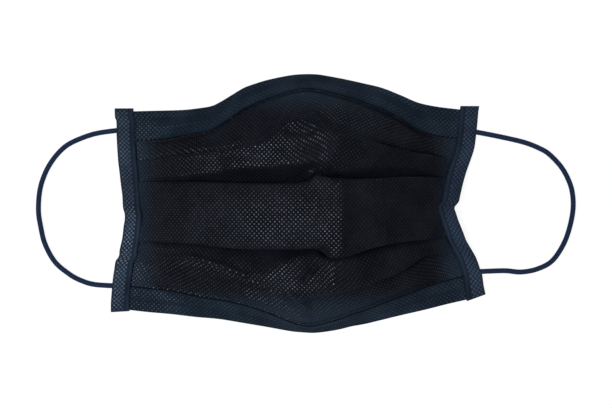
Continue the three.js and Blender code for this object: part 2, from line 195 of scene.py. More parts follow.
LEFT_ROUTE = [
    (-93, 32.9), (-99, 31.3), (-106, 28.4), (-110.6, 25.2), (-115.1, 20), (-118.6, 13.8),
    (-121, 6.1), (-121.7, -3.3), (-120.7, -10.8), (-118.6, -19.3), (-113.9, -27.7),
    (-107.2, -33.4), (-101.9, -36.3), (-95.7, -38.2),
]
LEFT_ENDS = (34.1, -38.9)
RIGHT_ROUTE = [
    (93.6, 31.3), (105.8, 28.5), (113.1, 25.7), (117.8, 22.9), (123.1, 17.4), (126.5, 11.7),
    (128.6, 5.5), (129.1, -2.3), (127.6, -10.9), (124.6, -19.3), (119.2, -27.2),
    (112.2, -31), (104.6, -32.4), (96.9, -31.8),
]
RIGHT_ENDS = (33.4, -32.2)


def loop_places(strip, route, ends):
    """The route with its two ends added at the strip's outer edge."""
    first, last = [
        (through(strip["y"], strip["x"], y) + strip["inward"] * TUCK, y) for y in ends
    ]
    return [first, *route, last]


def running(points):
    """The distance run along a line of points at each of them."""
    run = [0.0]
    for a, b in zip(points, points[1:]):
        run.append(run[-1] + (b - a).length)
    return run


def even_path(places, step):
    """Points a step apart along the smooth curve through the places, and its length."""
    dense = []
    for i in range(len(places) - 1):
        p0, p1, p2, p3 = (
            Vector(places[min(max(i + k, 0), len(places) - 1)]) for k in (-1, 0, 1, 2)
        )
        for k in range(FINE_STEPS):
            t = k / FINE_STEPS
            dense.append(
                0.5
                * (
                    2 * p1
                    + (p2 - p0) * t
                    + (2 * p0 - 5 * p1 + 4 * p2 - p3) * t**2
                    + (3 * p1 - p0 - 3 * p2 + p3) * t**3
                )
            )
    dense.append(Vector(places[-1]))
    run = running(dense)
    count = max(int(run[-1] / step), 2)
    path, k = [], 0
    for i in range(count + 1):
        target = run[-1] * i / count
        while k < len(run) - 2 and run[k + 1] < target:
            k += 1
        share = (target - run[k]) / max(run[k + 1] - run[k], 1e-9)
        path.append(dense[k].lerp(dense[k + 1], share))
    return path, run[-1]


# %% [markdown]
# ## A tube of cord
#
# A curve with a round bevel would do for a plain cord, but the knit needs a map that runs in
# millimetres. So a flat grid is rolled round the route, its seam is merged and its ends filled.


# %% A tube of cord
def finished(name, bm, smooth=True):
    """Turns a bmesh in millimetres into a linked object in metres."""
    bmesh.ops.scale(bm, vec=(MM, MM, MM), verts=bm.verts)
    mesh = bpy.data.meshes.new(name)
    for face in bm.faces:
        face.smooth = smooth
    bm.to_mesh(mesh)
    bm.free()
    piece = bpy.data.objects.new(name, mesh)
    bpy.context.scene.collection.objects.link(piece)
    return piece


def cord_tube(name, path, length):
    """A round cord along a flat path: a grid rolled round the path and closed."""
    bm = bmesh.new()
    bmesh.ops.create_grid(
        bm, x_segments=len(path) - 1, y_segments=CORD_SIDES, size=0.5
    )
    uv = bm.loops.layers.uv.verify()
    for face in bm.faces:
        for loop in face.loops:
            along, around = loop.vert.co.x + 0.5, loop.vert.co.y + 0.5
            loop[uv].uv = (along * length, around * 2 * math.pi * CORD_RADIUS)
    for vert in bm.verts:
        i = round((vert.co.x + 0.5) * (len(path) - 1))
        turn = 2 * math.pi * (vert.co.y + 0.5)
        from_end = min(i, len(path) - 1 - i) * length / (len(path) - 1)
        flat = lerp(WELDED_CORD, 1, smoothstep(from_end, *WELD_RUN))
        before, after = path[max(i - 1, 0)], path[min(i + 1, len(path) - 1)]
        heading = (after - before).normalized()
        side = Vector((-heading.y, heading.x))
        centre = path[i] + side * CORD_RADIUS * math.cos(turn)
        vert.co = (centre.x, centre.y, CORD_RADIUS * (1 + flat * math.sin(turn)))
    bmesh.ops.remove_doubles(bm, verts=bm.verts, dist=MERGE_DISTANCE)
    bmesh.ops.holes_fill(bm, edges=[e for e in bm.edges if e.is_boundary], sides=0)
    bmesh.ops.recalc_face_normals(bm, faces=bm.faces)
    return finished(name, bm)


loops = {}
for side, strip, route, ends in (
    ("left", LEFT_STRIP, LEFT_ROUTE, LEFT_ENDS),
    ("right", RIGHT_STRIP, RIGHT_ROUTE, RIGHT_ENDS),
):
    path, length = even_path(loop_places(strip, route, ends), CORD_STEP)
    cord = cord_tube(f"{side}_elastic_loop", path, length)
    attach(cord, "root")
    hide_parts(f"{side}_ear_loop")
    exit_x = through(strip["y"], strip["x"], ends[0])
    loops[side] = cord
    print(side, "loop", round(length, 1), "mm,", len(cord.data.polygons), "faces")

# %% [markdown]
# ## The folds of the sheet
#
# The body is one sheet with four pleats, two above and two below the centre panel. At the
# strips the pleats are pressed shut. Towards the crown they have been pulled open, so that
# the hidden return of each pleat swings down into the side of the dome. Each fold is given
# by its course across the mask; the height follows one dome shape for all of them.

# %% The course of each fold
# Each fold or edge is listed by the places that it passes, and a fold also by its height at
# the crown of the dome.
FOLDS = {
    "nose_edge": {
        "x": [-76.1, -64.8, -53.5, -46.0, -40.4, -36.6, -31.0, -25.3, -19.7, -14.1, -5.6, 0.9, 8.5,
              14.1, 22.5, 31.0, 39.4, 47.9, 56.3, 64.8, 76.1],
        "y": [42.9, 43.3, 43.8, 44.7, 45.7, 47.5, 50.9, 54.3, 56.4, 58.1, 59.9, 60.7, 60.7,
              59.9, 58.3, 56.4, 54.3, 50.9, 47.2, 45.2, 43.7],
    },
    "upper_pleat": {
        "x": [-68.5, -64.0, -47.2, -30.8, -17.5, -13.4, -9.8, -7.1, -3.4, 2.4, 6.9, 11.8, 16.3,
              25.8, 35.5, 43.0, 51.7, 62.5, 70.3],
        "y": [20.0, 20.9, 22.5, 24.1, 26.7, 28.1, 30.8, 34.7, 36.2, 37.3, 35.9, 32.5, 30.1,
              28.1, 26.6, 24.9, 23.3, 22.1, 20.7],
        "crown": 29,
    },
    "centre_top": {
        "x": [-66.3, -38.5, -11.0, 1.1, 6.0, 8.2, 10.0, 12.7, 17.1, 33.5, 46.6, 61.9, 70.2],
        "y": [9.7, 8.8, 7.8, 8.1, 8.8, 11.0, 10.9, 10.2, 9.5, 10.2, 11.4, 11.9, 11.2],
        "crown": 34,
    },
    "centre_bottom": {
        "x": [-71.8, -46.9, -35.2, -22.8, 0.6, 8.2, 11.3, 13.6, 15.8, 20.2, 24.3, 33.5, 46.6,
              58.9, 70.2],
        "y": [-17.5, -18.3, -19.5, -20.2, -19.9, -19.6, -21.2, -23.0, -23.6, -23.4, -22.6, -19.8,
              -17.5, -16.7, -15.0],
        "crown": 34,
    },
    "lower_pleat": {
        "x": [-75.4, -64.1, -47.7, -35.0, -23.0, -18.0, -11.6, -4.4, 0.2, 3.8, 6.5, 13.7, 24.1,
              36.5, 48.8, 58.6, 65.5, 70.3],
        "y": [-28.1, -27.0, -26.0, -29.7, -34.3, -35.4, -38.9, -40.7, -44.2, -42.9, -41.8, -40.3,
              -38.4, -34.9, -30.4, -24.6, -23.9, -23.9],
        "crown": 27,
    },
    "chin_edge": {
        "x": [-78.9, -70.4, -59.2, -47.9, -36.6, -25.3, -14.1, -2.8, 2.8, 7.5, 14.1, 19.7, 25.4,
              31.0, 36.6, 47.9, 59.2, 70.4, 78.9],
        "y": [-50.1, -51.1, -52.2, -53.7, -54.8, -56.7, -58.6, -60.6, -61.1, -61.3, -60.6, -59.6,
              -58.2, -57.2, -55.9, -53.1, -50.3, -47.3, -45.3],
    },
}
print("courses of", ", ".join(FOLDS))

# %% [markdown]
# ## How far the hems stand up and the pleats open
#
# The heights are estimates, because a view from straight above doesn't give them. They are
# kept as a few numbers, so that the whole dome can be raised or flattened in one place.

# %% Hems, pleats and dome
# How far each hem stands up from the surface, in degrees, at these places across the mask.
TILT_PLACES = [-84, -62, -42, -26, -12, 3, 15, 30, 52, 80]
NOSE_HEM_TILT = [0, 22, 29, 37, 45, 54, 51, 44, 27, 0]
CHIN_HEM_TILT = [0, 10, 28, 34, 50, 68, 62, 50, 28, 0]
# How far out and up each pleat's hidden crease lies from its outer fold once it has opened.
OPENED = {
    "upper_pleat": (5.5, -6),
    "centre_top": (1.0, -8.0),
    "centre_bottom": (-0.8, -6),
    "lower_pleat": (1.5, -6),
}
CROWN_X = 19  # the ridge of the dome
LEFT_FALL, RIGHT_FALL = 2, 1.35  # powers of the dome's fall to each side
OPENING_LAG = 1.5  # a pleat opens later than the dome rises
PLEAT_DEPTH = 9.6
# From one layer to the next in the free sheet.
LAYER_PITCH = {"upper_pleat": 0.7, "centre_top": 1.1, "centre_bottom": 1.1, "lower_pleat": 0.7}
PRESSED_PITCH = 0.3  # the same where a strip presses them
PRESS_RUN = 25  # the length over which the layers come together
PANEL_BULGE = 0.05  # how far a free panel bellies out, as a share of its length


def course(fold, x):
    """Where a fold runs: its y at x."""
    return through(FOLDS[fold]["x"], FOLDS[fold]["y"], x)


def rise(x, inner_left, inner_right):
    """How high the dome has risen at x: 0 at a strip's inner edge, 1 at the crown."""
    if x < CROWN_X:
        return 1 - min(1, (CROWN_X - x) / (CROWN_X - inner_left)) ** LEFT_FALL
    return 1 - min(1, (x - CROWN_X) / (inner_right - CROWN_X)) ** RIGHT_FALL


def sides_of(fold, layer):
    """The strips' inner edges where a fold meets them, at a layer of the pressed stack."""
    up = STRIP_MIDDLE + layer * PRESSED_PITCH
    left = strip_point(LEFT_STRIP, FOLDS[fold]["y"][0], STRIP_WIDTH, up)
    right = strip_point(RIGHT_STRIP, FOLDS[fold]["y"][-1], STRIP_WIDTH, up)
    return left, right


LAYER_OF = {"upper_pleat": 0, "centre_top": 2, "centre_bottom": 2, "lower_pleat": 0}
SIDES = {fold: sides_of(fold, layer) for fold, layer in LAYER_OF.items()}
INNER_LEFT = SIDES["centre_top"][0].x
INNER_RIGHT = SIDES["centre_top"][1].x
print("free sheet from", round(INNER_LEFT, 1), "to", round(INNER_RIGHT, 1), "mm")


# %% [markdown]
# ## One upright cut through the sheet
#
# Cutting the mask from nose to chin at one x gives a zigzag line: panel, return, panel. Drawn
# for every x, these lines are the columns of the sheet.


# %% One upright cut through the sheet
def fold_point(fold, x):
    """A fold line's (y, z) in the upright plane at x."""
    left, right = SIDES[fold]
    side = lerp(left.z, right.z, smoothstep(x, left.x, right.x))
    height = lerp(side, FOLDS[fold]["crown"], rise(x, left.x, right.x))
    return Vector((course(fold, x), height))


def freedom(x):
    """0 where a strip presses the layers together, 1 where they are free."""
    return smoothstep(min(x - INNER_LEFT, INNER_RIGHT - x), 0, PRESS_RUN)


def pleat(fold_name, x, fold, panel_end, outward):
    """The outer fold and the hidden crease under the next panel, each a pair of corners."""
    pitch = lerp(PRESSED_PITCH, LAYER_PITCH[fold_name], freedom(x))
    opened = rise(x, INNER_LEFT, INNER_RIGHT) ** OPENING_LAG
    covered = (panel_end - fold).normalized() * PLEAT_DEPTH
    open_y, open_z = OPENED[fold_name]
    back = covered.lerp(Vector((open_y * outward, open_z)), opened)
    down = Vector((opened * outward, -1)).normalized() * pitch
    fold_under = fold + down
    crease_over = fold_under + back
    return [fold, fold_under, crease_over, crease_over + down]


HEM_HALF = 0.66  # half the thickness that a hem is given
NOSE_HEM_WIDTH = 13.8
CHIN_HEM_WIDTH = 11.3
HEM_TUCK = 5.4  # how far the sheet reaches into a hem
HEM_TWIST_RUN = 30  # a hem stands up over this distance from a strip
HEM_LIFT_RUN = 14  # and comes down from the strip's slot over this one


def hem_frame(edge_name, tilts, outward, x):
    """A hem at x: its outer edge, the way in from it and the way through it, in (y, z)."""
    left, right = sides_of(edge_name, 0)
    twist = smoothstep(min(x - left.x, right.x - x), 0, HEM_TWIST_RUN)
    tilt = math.radians(through(TILT_PLACES, tilts, x) * twist)
    settled = smoothstep(min(x - left.x, right.x - x), 0, HEM_LIFT_RUN)
    lift = (STRIP_MIDDLE - HEM_HALF) * (1 - settled)
    inwards = Vector((-outward * math.cos(tilt), math.sin(tilt)))
    across = Vector((outward * math.sin(tilt), math.cos(tilt)))
    lowest = math.cos(tilt) * HEM_HALF + lift
    edge = Vector((course(edge_name, x) - outward * math.sin(tilt) * HEM_HALF, lowest))
    return edge, inwards, across


def nose_hem_point(x, from_edge, offset):
    """The (y, z) of the nose hem at x, in from its edge and through its thickness."""
    edge, inwards, across = hem_frame("nose_edge", NOSE_HEM_TILT, 1, x)
    return edge + inwards * from_edge + across * offset


def chin_hem_point(x, from_edge, offset):
    """The (y, z) of the chin hem at x, in from its edge and through its thickness."""
    edge, inwards, across = hem_frame("chin_edge", CHIN_HEM_TILT, -1, x)
    return edge + inwards * from_edge + across * offset


def sheet_cut(x):
    """The sheet cut upright at x: its folds as (y, z) points from nose to chin."""
    top_fold, bottom_fold = fold_point("centre_top", x), fold_point("centre_bottom", x)
    top = pleat("centre_top", x, top_fold, bottom_fold, 1)
    bottom = pleat("centre_bottom", x, bottom_fold, top_fold, -1)
    upper = pleat("upper_pleat", x, fold_point("upper_pleat", x), top[3], 1)
    lower = pleat("lower_pleat", x, fold_point("lower_pleat", x), bottom[3], -1)
    return [
        nose_hem_point(x, NOSE_HEM_WIDTH - HEM_TUCK, 0),
        nose_hem_point(x, NOSE_HEM_WIDTH, 0),
        *reversed(upper),
        *reversed(top),
        *bottom,
        *lower,
        chin_hem_point(x, CHIN_HEM_WIDTH, 0),
        chin_hem_point(x, CHIN_HEM_WIDTH - HEM_TUCK, 0),
    ]


print("cut at the crown", [tuple(round(c, 1) for c in p) for p in sheet_cut(CROWN_X)])

# %% [markdown]
# ## The pleated sheet
#
# A flat grid is the natural start: it is the cut cloth. Its columns run from nose to chin and
# its rows across the mask, closer together at the folds, where each corner is rounded by a
# few rows of its own. A cloth simulation would keep the cloth's length while it folds. Here
# the points are placed one by one, so that every fold lies where it should, and nothing keeps
# the length: the flat lengths below are a plan, and a later cell prints how far the drawn
# columns depart from it.

# %% The rows of the sheet
# Each line names a stretch from one fold to the next. It gives the layer in the pressed stack
# where the stretch begins (None at a hem), its flat length, the number of rows in it, and
# whether it is a free panel that can belly out.
FOLD_TURN = 0.4  # the flat length that the turn of a fold takes up
STRETCHES = [
    ("nose_tuck", None, HEM_TUCK, 4, False),
    ("nose_panel", None, 19.8, 24, True),
    ("upper_crease", -2, FOLD_TURN, 1, False),
    ("upper_return", -1, PLEAT_DEPTH, 8, False),
    ("upper_ridge", -1, FOLD_TURN, 1, False),
    ("upper_panel", 0, 19.4, 16, True),
    ("top_crease", 0, FOLD_TURN, 1, False),
    ("top_return", 1, PLEAT_DEPTH, 8, False),
    ("top_ridge", 1, FOLD_TURN, 1, False),
    ("centre_panel", 2, 27.0, 30, True),
    ("bottom_ridge", 2, FOLD_TURN, 1, False),
    ("bottom_return", 1, PLEAT_DEPTH, 8, False),
    ("bottom_crease", 1, FOLD_TURN, 1, False),
    ("lower_panel", 0, 21.0, 16, True),
    ("lower_ridge", 0, FOLD_TURN, 1, False),
    ("lower_return", -1, PLEAT_DEPTH, 8, False),
    ("lower_crease", -1, FOLD_TURN, 1, False),
    ("chin_panel", -2, 20.6, 22, True),
    ("chin_tuck", None, HEM_TUCK, 4, False),
]
NAMES = [name for name, _, _, _, _ in STRETCHES]
LAYERS = [layer for _, layer, _, _, _ in STRETCHES] + [None]
CAN_BELLY = [free for _, _, _, _, free in STRETCHES]
CORNER_ROUND = 0.45  # radius of a rounded fold, millimetres
CORNER_ROWS = 3

# The place of every row: which stretch it is in and how far along, or which corner it rounds.
ROW_PLACES = [("stretch", 0, 0.0)]
for i, (_, _, flat, rows, _) in enumerate(STRETCHES):
    for k in range(1, rows + 1):
        ROW_PLACES.append(("stretch", i, k / (rows + 1)))
    if i < len(STRETCHES) - 1:
        for k in range(CORNER_ROWS):
            ROW_PLACES.append(("corner", i + 1, (k + 0.5) / CORNER_ROWS))
ROW_PLACES.append(("stretch", len(STRETCHES) - 1, 1.0))


# %% [markdown]
# ## Pockets
#
# Each pleat's mouth is a pocket: the panel under it dips where it goes in under the fold, while
# the fold itself stays up. Points are only lowered here, which is quick to place but isn't how
# cloth moves. It stretches the sheet, and it causes most of the places where the finished
# sheet passes through itself. Folding the cloth anew at each pocket would be the sound way.

# %% Pockets
# The depth and the reach of the dip are listed along the fold; it rises from `floor`, a share
# of the reach, which lies under the fold where it is below 0.
POCKETS = {
    "upper_pleat": {
        "x": [-60, -35, -12, 3, 14, 26, 43, 60],
        "depth": [0.3, 0.5, 0.4, 0.3, 0.2, 0.2, 0.2, 0.2],
        "reach": [2.5, 3, 3, 3, 3, 3, 3, 2.5],
        "floor": 0.4,
    },
    "centre_top": {
        "x": [-64, -50, -40, -30, -17, 1, 7, 13, 22, 34, 50, 62],
        "depth": [1.4, 2.4, 3.4, 4.8, 6.0, 6.5, 3.0, 2.0, 3.0, 3.5, 3.0, 1.4],
        "reach": [2.5, 3.2, 4.8, 6.6, 8.0, 8.5, 4.0, 3.0, 5.0, 6.0, 5.0, 2.5],
        "floor": 0.4,
    },
    "centre_bottom": {
        "x": [-66, -50, -36, -28, -20, -10, 0, 8, 14, 24, 36, 50, 60],
        "depth": [1.6, 3.2, 5.2, 6.8, 7.0, 6.0, 5.2, 5.0, 3.2, 2.8, 3.4, 2.4, 1.3],
        "reach": [3.0, 7.5, 13.0, 18.0, 18.0, 11.0, 5.2, 4.0, 3.5, 3.5, 4.5, 3.5, 2.5],
        "floor": -0.4,
    },
    "lower_pleat": {
        "x": [-60, -36, -20, -4, 8, 24, 44, 58],
        "depth": [0.2, 0.3, 0.3, 0.3, 0.3, 0.8, 0.8, 0.3],
        "reach": [2.5, 3, 3, 3, 3, 3, 3, 2.5],
        "floor": 0.4,
    },
}
RETURN_OF = {"upper_return": "upper_pleat", "top_return": "centre_top",
             "bottom_return": "centre_bottom", "lower_return": "lower_pleat"}
FLOOR_OF = {"nose_panel": "upper_pleat", "upper_panel": "centre_top",
            "lower_panel": "centre_bottom", "chin_panel": "lower_pleat"}
POCKET_RUN = 12  # the pockets open over this distance from a strip
GROOVE_DEPTH = 0.7  # right under each fold runs a narrow groove, nearly to the strips
GROOVE_REACH = 1.5
GROOVE_RUN = 3.0


def pocket_dip(x, y, stretch, share):
    """How far a point of a stretch hangs down at the mouth of its pleat."""
    name = NAMES[stretch]
    fold = RETURN_OF.get(name) or FLOOR_OF.get(name)
    if not fold:
        return 0.0
    pocket = POCKETS[fold]
    outward = 1 if fold in ("upper_pleat", "centre_top") else -1
    away = outward * (y - course(fold, x))
    out = away / through(pocket["x"], pocket["reach"], x)
    from_strip = min(x - INNER_LEFT, INNER_RIGHT - x)
    dip = through(pocket["x"], pocket["depth"], x) * (1 - smoothstep(out, pocket["floor"], 1))
    dip *= smoothstep(from_strip, 0, POCKET_RUN)
    groove = GROOVE_DEPTH * (1 - smoothstep(away, 0, GROOVE_REACH))
    dip += groove * smoothstep(from_strip, 0, GROOVE_RUN)
    if name in RETURN_OF:
        dip *= share if outward < 0 else 1 - share
    return dip


def pocket_place(kind, i, share):
    """The stretch a row belongs to and its share along it, a corner going with its pleat."""
    if kind == "stretch":
        return i, share
    if NAMES[i] in RETURN_OF:
        return i, 0.0
    if NAMES[i - 1] in RETURN_OF:
        return i - 1, 1.0
    return (i, 0.0) if NAMES[i] in FLOOR_OF else (i - 1, 1.0)


# %% [markdown]
# ## Crumples
#
# Handling leaves creases, pits and swells in the cloth. Each is placed one by one. It moves every
# layer that lies there up or down together, so it adds next to no crossing of layers by
# itself, but like the pockets it stretches the sheet.

# %% Crumples
# Each crumple is a line of (x, y) places, its height, its half width, and whether it is a
# crisp crease.
CRUMPLES = [
    ("centre ridge", [(20.2, 12), (20.2, -24)], 1.1, 9, True),
    ("upper ridge", [(13.6, 13), (13.0, 31)], 1.6, 11, True),
    ("lower ridge", [(16.7, -24), (16.7, -36)], 0.8, 5, True),
    ("nose ridge", [(3.0, 34), (3.0, 48)], 1.5, 8, True),
    ("left leg of the peak", [(-3.5, 43.7), (-6.2, 38.7), (-10.3, 33.4), (-16.2, 28.6)],
     1.2, 2.0, True),
    ("right leg of the peak", [(3.8, 43.2), (8.8, 39.1), (12.9, 33.6), (18.3, 30.4), (31, 28.4)],
     1.6, 2.0, True),
    ("edge of the lower fold", [(-64, -25.9), (-47.7, -25.0), (-35, -28.6), (-23, -33.2)],
     1.3, 2.2, True),
    ("edge of the lower right", [(13.7, -40.8), (24.1, -38.9), (36.5, -35.4), (48.8, -30.9)],
     1.0, 2.0, True),
    ("edge of the upper left", [(-60, 20.6), (-47.2, 22.0), (-30.8, 23.6), (-19, 25.8)],
     0.6, 1.8, True),
    ("edge of the upper right", [(31, 27.2), (35.5, 26.2), (43.0, 24.5), (51.7, 22.9)],
     1.0, 1.8, True),
    ("swell under the peak", [(-16, 26.5), (-5, 28.0), (7, 28.5)], 0.7, 8.0, False),
    ("shelf above the centre", [(-30, 16.6), (-4, 17.6), (2, 18.5)], 0.9, 5.5, False),
    ("hook", [(-4.3, 17.8), (2, 18.7), (8.2, 20), (11.3, 18.7), (11.3, 16.9), (10.2, 15.2)],
     0.9, 2.4, True),
    ("pit inside the hook", [(3.0, 14.5), (7.0, 15.2)], -2.0, 2.6, False),
    ("pit beside the hook", [(14.5, 14.0), (17.0, 13.0)], -1.5, 2.6, False),
    ("dip under the peak", [(-3.0, 32.2), (6.0, 32.2)], -1.7, 3.2, False),
    ("dip above the hook", [(4.0, 24.2), (9.5, 23.2)], -1.2, 2.0, False),
    ("hole under the edge", [(11.0, -21.0), (12.4, -22.6)], -3.0, 2.4, False),
    ("slanting fold", [(0.0, -33.0), (4.5, -29.5), (9.6, -24.5)], 1.0, 3.4, True),
    ("first pit", [(6.6, -29.6), (9.4, -27.6)], -1.3, 2.0, False),
    ("second pit", [(3.6, -33.8), (6.0, -31.0)], -1.3, 2.0, False),
    ("chin crease", [(-2.0, -43.0), (7.8, -39.4), (20.5, -35.4)], 1.2, 1.8, True),
    ("chin roll", [(-24.0, -43.5), (-14.0, -46.8), (-6.0, -50.2), (2.0, -52.5)], 3.0, 6.5, True),
    ("chin facet", [(-4.0, -42.0), (3.5, -47.5)], 1.6, 4.0, True),
]


CRISPNESS = 1.5  # the power of a crisp crease's fall to its sides
WAVE = (17, 11, 0.3)  # a soft wave: its length along x and y, and a place in the noise
WAVE_HEIGHT = 0.45
RIPPLE = (6.5, 4.5, 2.7)  # a finer one
RIPPLE_HEIGHT = 0.14


def distance_to_line(x, y, line):
    """The distance from (x, y) to the nearest place on a line of places."""
    nearest = math.inf
    for (ax, ay), (bx, by) in zip(line, line[1:]):
        run_x, run_y = bx - ax, by - ay
        t = ((x - ax) * run_x + (y - ay) * run_y) / (run_x * run_x + run_y * run_y)
        t = min(max(t, 0), 1)
        nearest = min(nearest, math.hypot(x - ax - t * run_x, y - ay - t * run_y))
    return nearest


def crumple(x, y):
    """How far the cloth is lifted at (x, y) by all the crumples."""
    lift = 0.0
    for _, line, height, half_width, crisp in CRUMPLES:
        away = distance_to_line(x, y, line) / half_width
        if away < 1:
            lift += height * ((1 - away) ** CRISPNESS if crisp else (1 - away * away) ** 2)
    soft = math_noise.noise(Vector((x / WAVE[0], y / WAVE[1], WAVE[2])))
    fine = math_noise.noise(Vector((x / RIPPLE[0], y / RIPPLE[1], RIPPLE[2])))
    return lift + WAVE_HEIGHT * soft + RIPPLE_HEIGHT * fine


# %% [markdown]
# ## Points along one column
#
# Every row gets its place on the zigzag line of its column. Free panels belly out a little,
# and each fold is rounded by a short curve, because folded cloth has no knife edge.


# %% Points along one column
def along_folds(points, belly):
    """Every row's point on the folded line through `points`, with rounded corners."""

    def on_stretch(i, t):
        """The point t of the way along a stretch, bellied out where it is free."""
        start, end = points[i], points[i + 1]
        point = start.lerp(end, t)
        if CAN_BELLY[i]:
            along = end - start
            out = Vector((0, along.z, -along.y)) * (4 * t * (1 - t) * belly)
            point = point + out
        return point

    placed = []
    for kind, i, share in ROW_PLACES:
        if kind == "stretch":
            length = max((points[i + 1] - points[i]).length, 1e-6)
            margin = min(CORNER_ROUND / length, 0.5)
            if 0 < share < 1:
                share = lerp(margin, 1 - margin, share)
            placed.append(on_stretch(i, share))
        else:
            into = (points[i] - points[i - 1]).length
            out = (points[i + 1] - points[i]).length
            start = on_stretch(i - 1, 1 - min(CORNER_ROUND / max(into, 1e-6), 0.5))
            end = on_stretch(i, min(CORNER_ROUND / max(out, 1e-6), 0.5))
            corner = points[i]
            placed.append(start.lerp(corner, share).lerp(corner.lerp(end, share), share))
    return placed


LEFT_CUT = sheet_cut(TILT_PLACES[0])
RIGHT_CUT = sheet_cut(TILT_PLACES[-1])
HEM_DIP = 1.8  # the sheet dips where it leaves a hem
HEM_DIP_AT = (0.8, 1.3)  # the dip's middle and half width, from the hem
HEM_EASE = 4.0  # over this distance from a hem the crumples and pockets fade out


def slot_column(strip, reach):
    """The sheet inside a strip's slot, `reach` in from the strip's outer edge."""
    cut = LEFT_CUT if strip["inward"] > 0 else RIGHT_CUT
    levels = [
        cut[i].y if layer is None else STRIP_MIDDLE + layer * PRESSED_PITCH
        for i, layer in enumerate(LAYERS)
    ]
    flat = [Vector((0, p.x, level)) for p, level in zip(cut, levels)]
    return [strip_point(strip, p.y, reach, p.z) for p in along_folds(flat, 0)]


def free_column(share, crumpled=1.0):
    """The sheet between the strips, `share` of the way across.

    `crumpled` is the share of the crumples and pockets that it gets.
    """
    points = []
    for i in range(len(LAYERS)):
        from_x = strip_point(LEFT_STRIP, LEFT_CUT[i].x, STRIP_WIDTH, STRIP_MIDDLE).x
        to_x = strip_point(RIGHT_STRIP, RIGHT_CUT[i].x, STRIP_WIDTH, STRIP_MIDDLE).x
        x = lerp(from_x, to_x, share)
        cut = sheet_cut(x)[i]
        points.append(Vector((x, cut.x, cut.y)))
    middle = points[len(points) // 2].x
    free = freedom(middle)
    placed = along_folds(points, PANEL_BULGE * free)
    nose_y, chin_y = points[1].y, points[-2].y
    for (kind, i, row_share), point in zip(ROW_PLACES, placed):
        from_hem = min(nose_y - point.y, point.y - chin_y)
        if 0 < i < len(STRETCHES) - 1 and from_hem > 0:
            ease = crumpled * smoothstep(from_hem, 0, HEM_EASE)
            stretch, along = pocket_place(kind, i, row_share)
            point.z += crumple(point.x, point.y) * free * ease
            point.z -= pocket_dip(point.x, point.y, stretch, along) * ease
            point.z -= HEM_DIP * free * bump(from_hem, *HEM_DIP_AT)
    return placed


# %% [markdown]
# ## Folding the grid
#
# All columns are worked out first, twice: once as they are drawn, and once softer, for the map
# of the bond points.

# %% Fold the grid
SHEET_COLUMNS = 228
SLOT_REACHES = [2.0, 5.0, STRIP_WIDTH]
SHEET_WALL = 0.4
SOFTER = 0.4  # the share of the crumples and pockets that the points' map follows

columns = [slot_column(LEFT_STRIP, reach) for reach in SLOT_REACHES]
softer = columns[:]
columns += [free_column((i + 1) / SHEET_COLUMNS) for i in range(SHEET_COLUMNS - 1)]
softer += [free_column((i + 1) / SHEET_COLUMNS, SOFTER) for i in range(SHEET_COLUMNS - 1)]
columns += [slot_column(RIGHT_STRIP, reach) for reach in reversed(SLOT_REACHES)]
softer += columns[len(softer) :]


CENTRE_ROWS = [k for k, (_, i, _) in enumerate(ROW_PLACES) if NAMES[i] == "centre_panel"]
MIDDLE_ROW = CENTRE_ROWS[len(CENTRE_ROWS) // 2]
across_run = running([column[MIDDLE_ROW] for column in columns])
down_runs = np.array([running(column) for column in softer])
drawn_runs = [running(column)[-1] for column in columns]
print("as drawn its columns run", round(min(drawn_runs), 1), "to", round(max(drawn_runs), 1), "mm,")
print("on average", round(float(np.mean(drawn_runs)), 1), "mm: pockets and creases stretch it")

# %% [markdown]
# ## A map for the bond points
#
# The distances from the middle row are evened out over neighbouring columns before they
# become the UV map, and where a fold runs unevenly the map keeps to the place and not to it.
# So the points' spacing is the cloth's own only roughly, but their rows stay even, as pressed
# rows are, and don't jump from one column to the next.

# %% A map for the bond points
EVENED = 15  # columns to either side


def evened(values):
    """Each column's values averaged with its neighbours', the nearest ones counting most."""
    weights = EVENED + 1 - np.abs(np.arange(-EVENED, EVENED + 1))
    wide = np.pad(values, ((EVENED, EVENED), (0, 0)), mode="edge")
    return sum(w * wide[k : k + len(values)] for k, w in enumerate(weights / weights.sum()))


ys = np.array([[point.y for point in column] for column in columns])
cloth_v = (
    evened(ys)[:, MIDDLE_ROW : MIDDLE_ROW + 1]
    - evened(down_runs - down_runs[:, MIDDLE_ROW : MIDDLE_ROW + 1])
    + ys
    - evened(ys)
)
print("the map runs from", round(float(cloth_v.min()), 1), "to", round(float(cloth_v.max()), 1))

# %% [markdown]
# ## Laying a grid in its place
#
# The sheet, the hems and the strips are all made in the same way: a flat grid whose points are
# moved one by one. Where a point goes and what its map says are given as two small functions.


# %% Lay a grid
def grid_place(vert, column_count, row_count):
    """The column and row of a vertex of a grid that is one unit across."""
    column = round((vert.co.x + 0.5) * (column_count - 1))
    row = round((0.5 - vert.co.y) * (row_count - 1))
    return column, row


def laid_grid(name, column_count, row_count, map_at, place_at, wall_at=None):
    """A flat grid whose points are moved to their places, with a UV map in millimetres.

    `wall_at` gives the share of the wall's full thickness at a placed point.
    """
    bm = bmesh.new()
    bmesh.ops.create_grid(
        bm, x_segments=column_count - 1, y_segments=row_count - 1, size=0.5
    )
    uv = bm.loops.layers.uv.verify()
    share = bm.verts.layers.deform.verify() if wall_at else None
    for face in bm.faces:
        for loop in face.loops:
            loop[uv].uv = map_at(*grid_place(loop.vert, column_count, row_count))
    for vert in bm.verts:
        vert.co = place_at(*grid_place(vert, column_count, row_count))
        if wall_at:
            vert[share][0] = wall_at(vert.co)
    bmesh.ops.recalc_face_normals(bm, faces=bm.faces)
    piece = finished(name, bm)
    if wall_at:
        piece.vertex_groups.new(name="wall")
    return piece


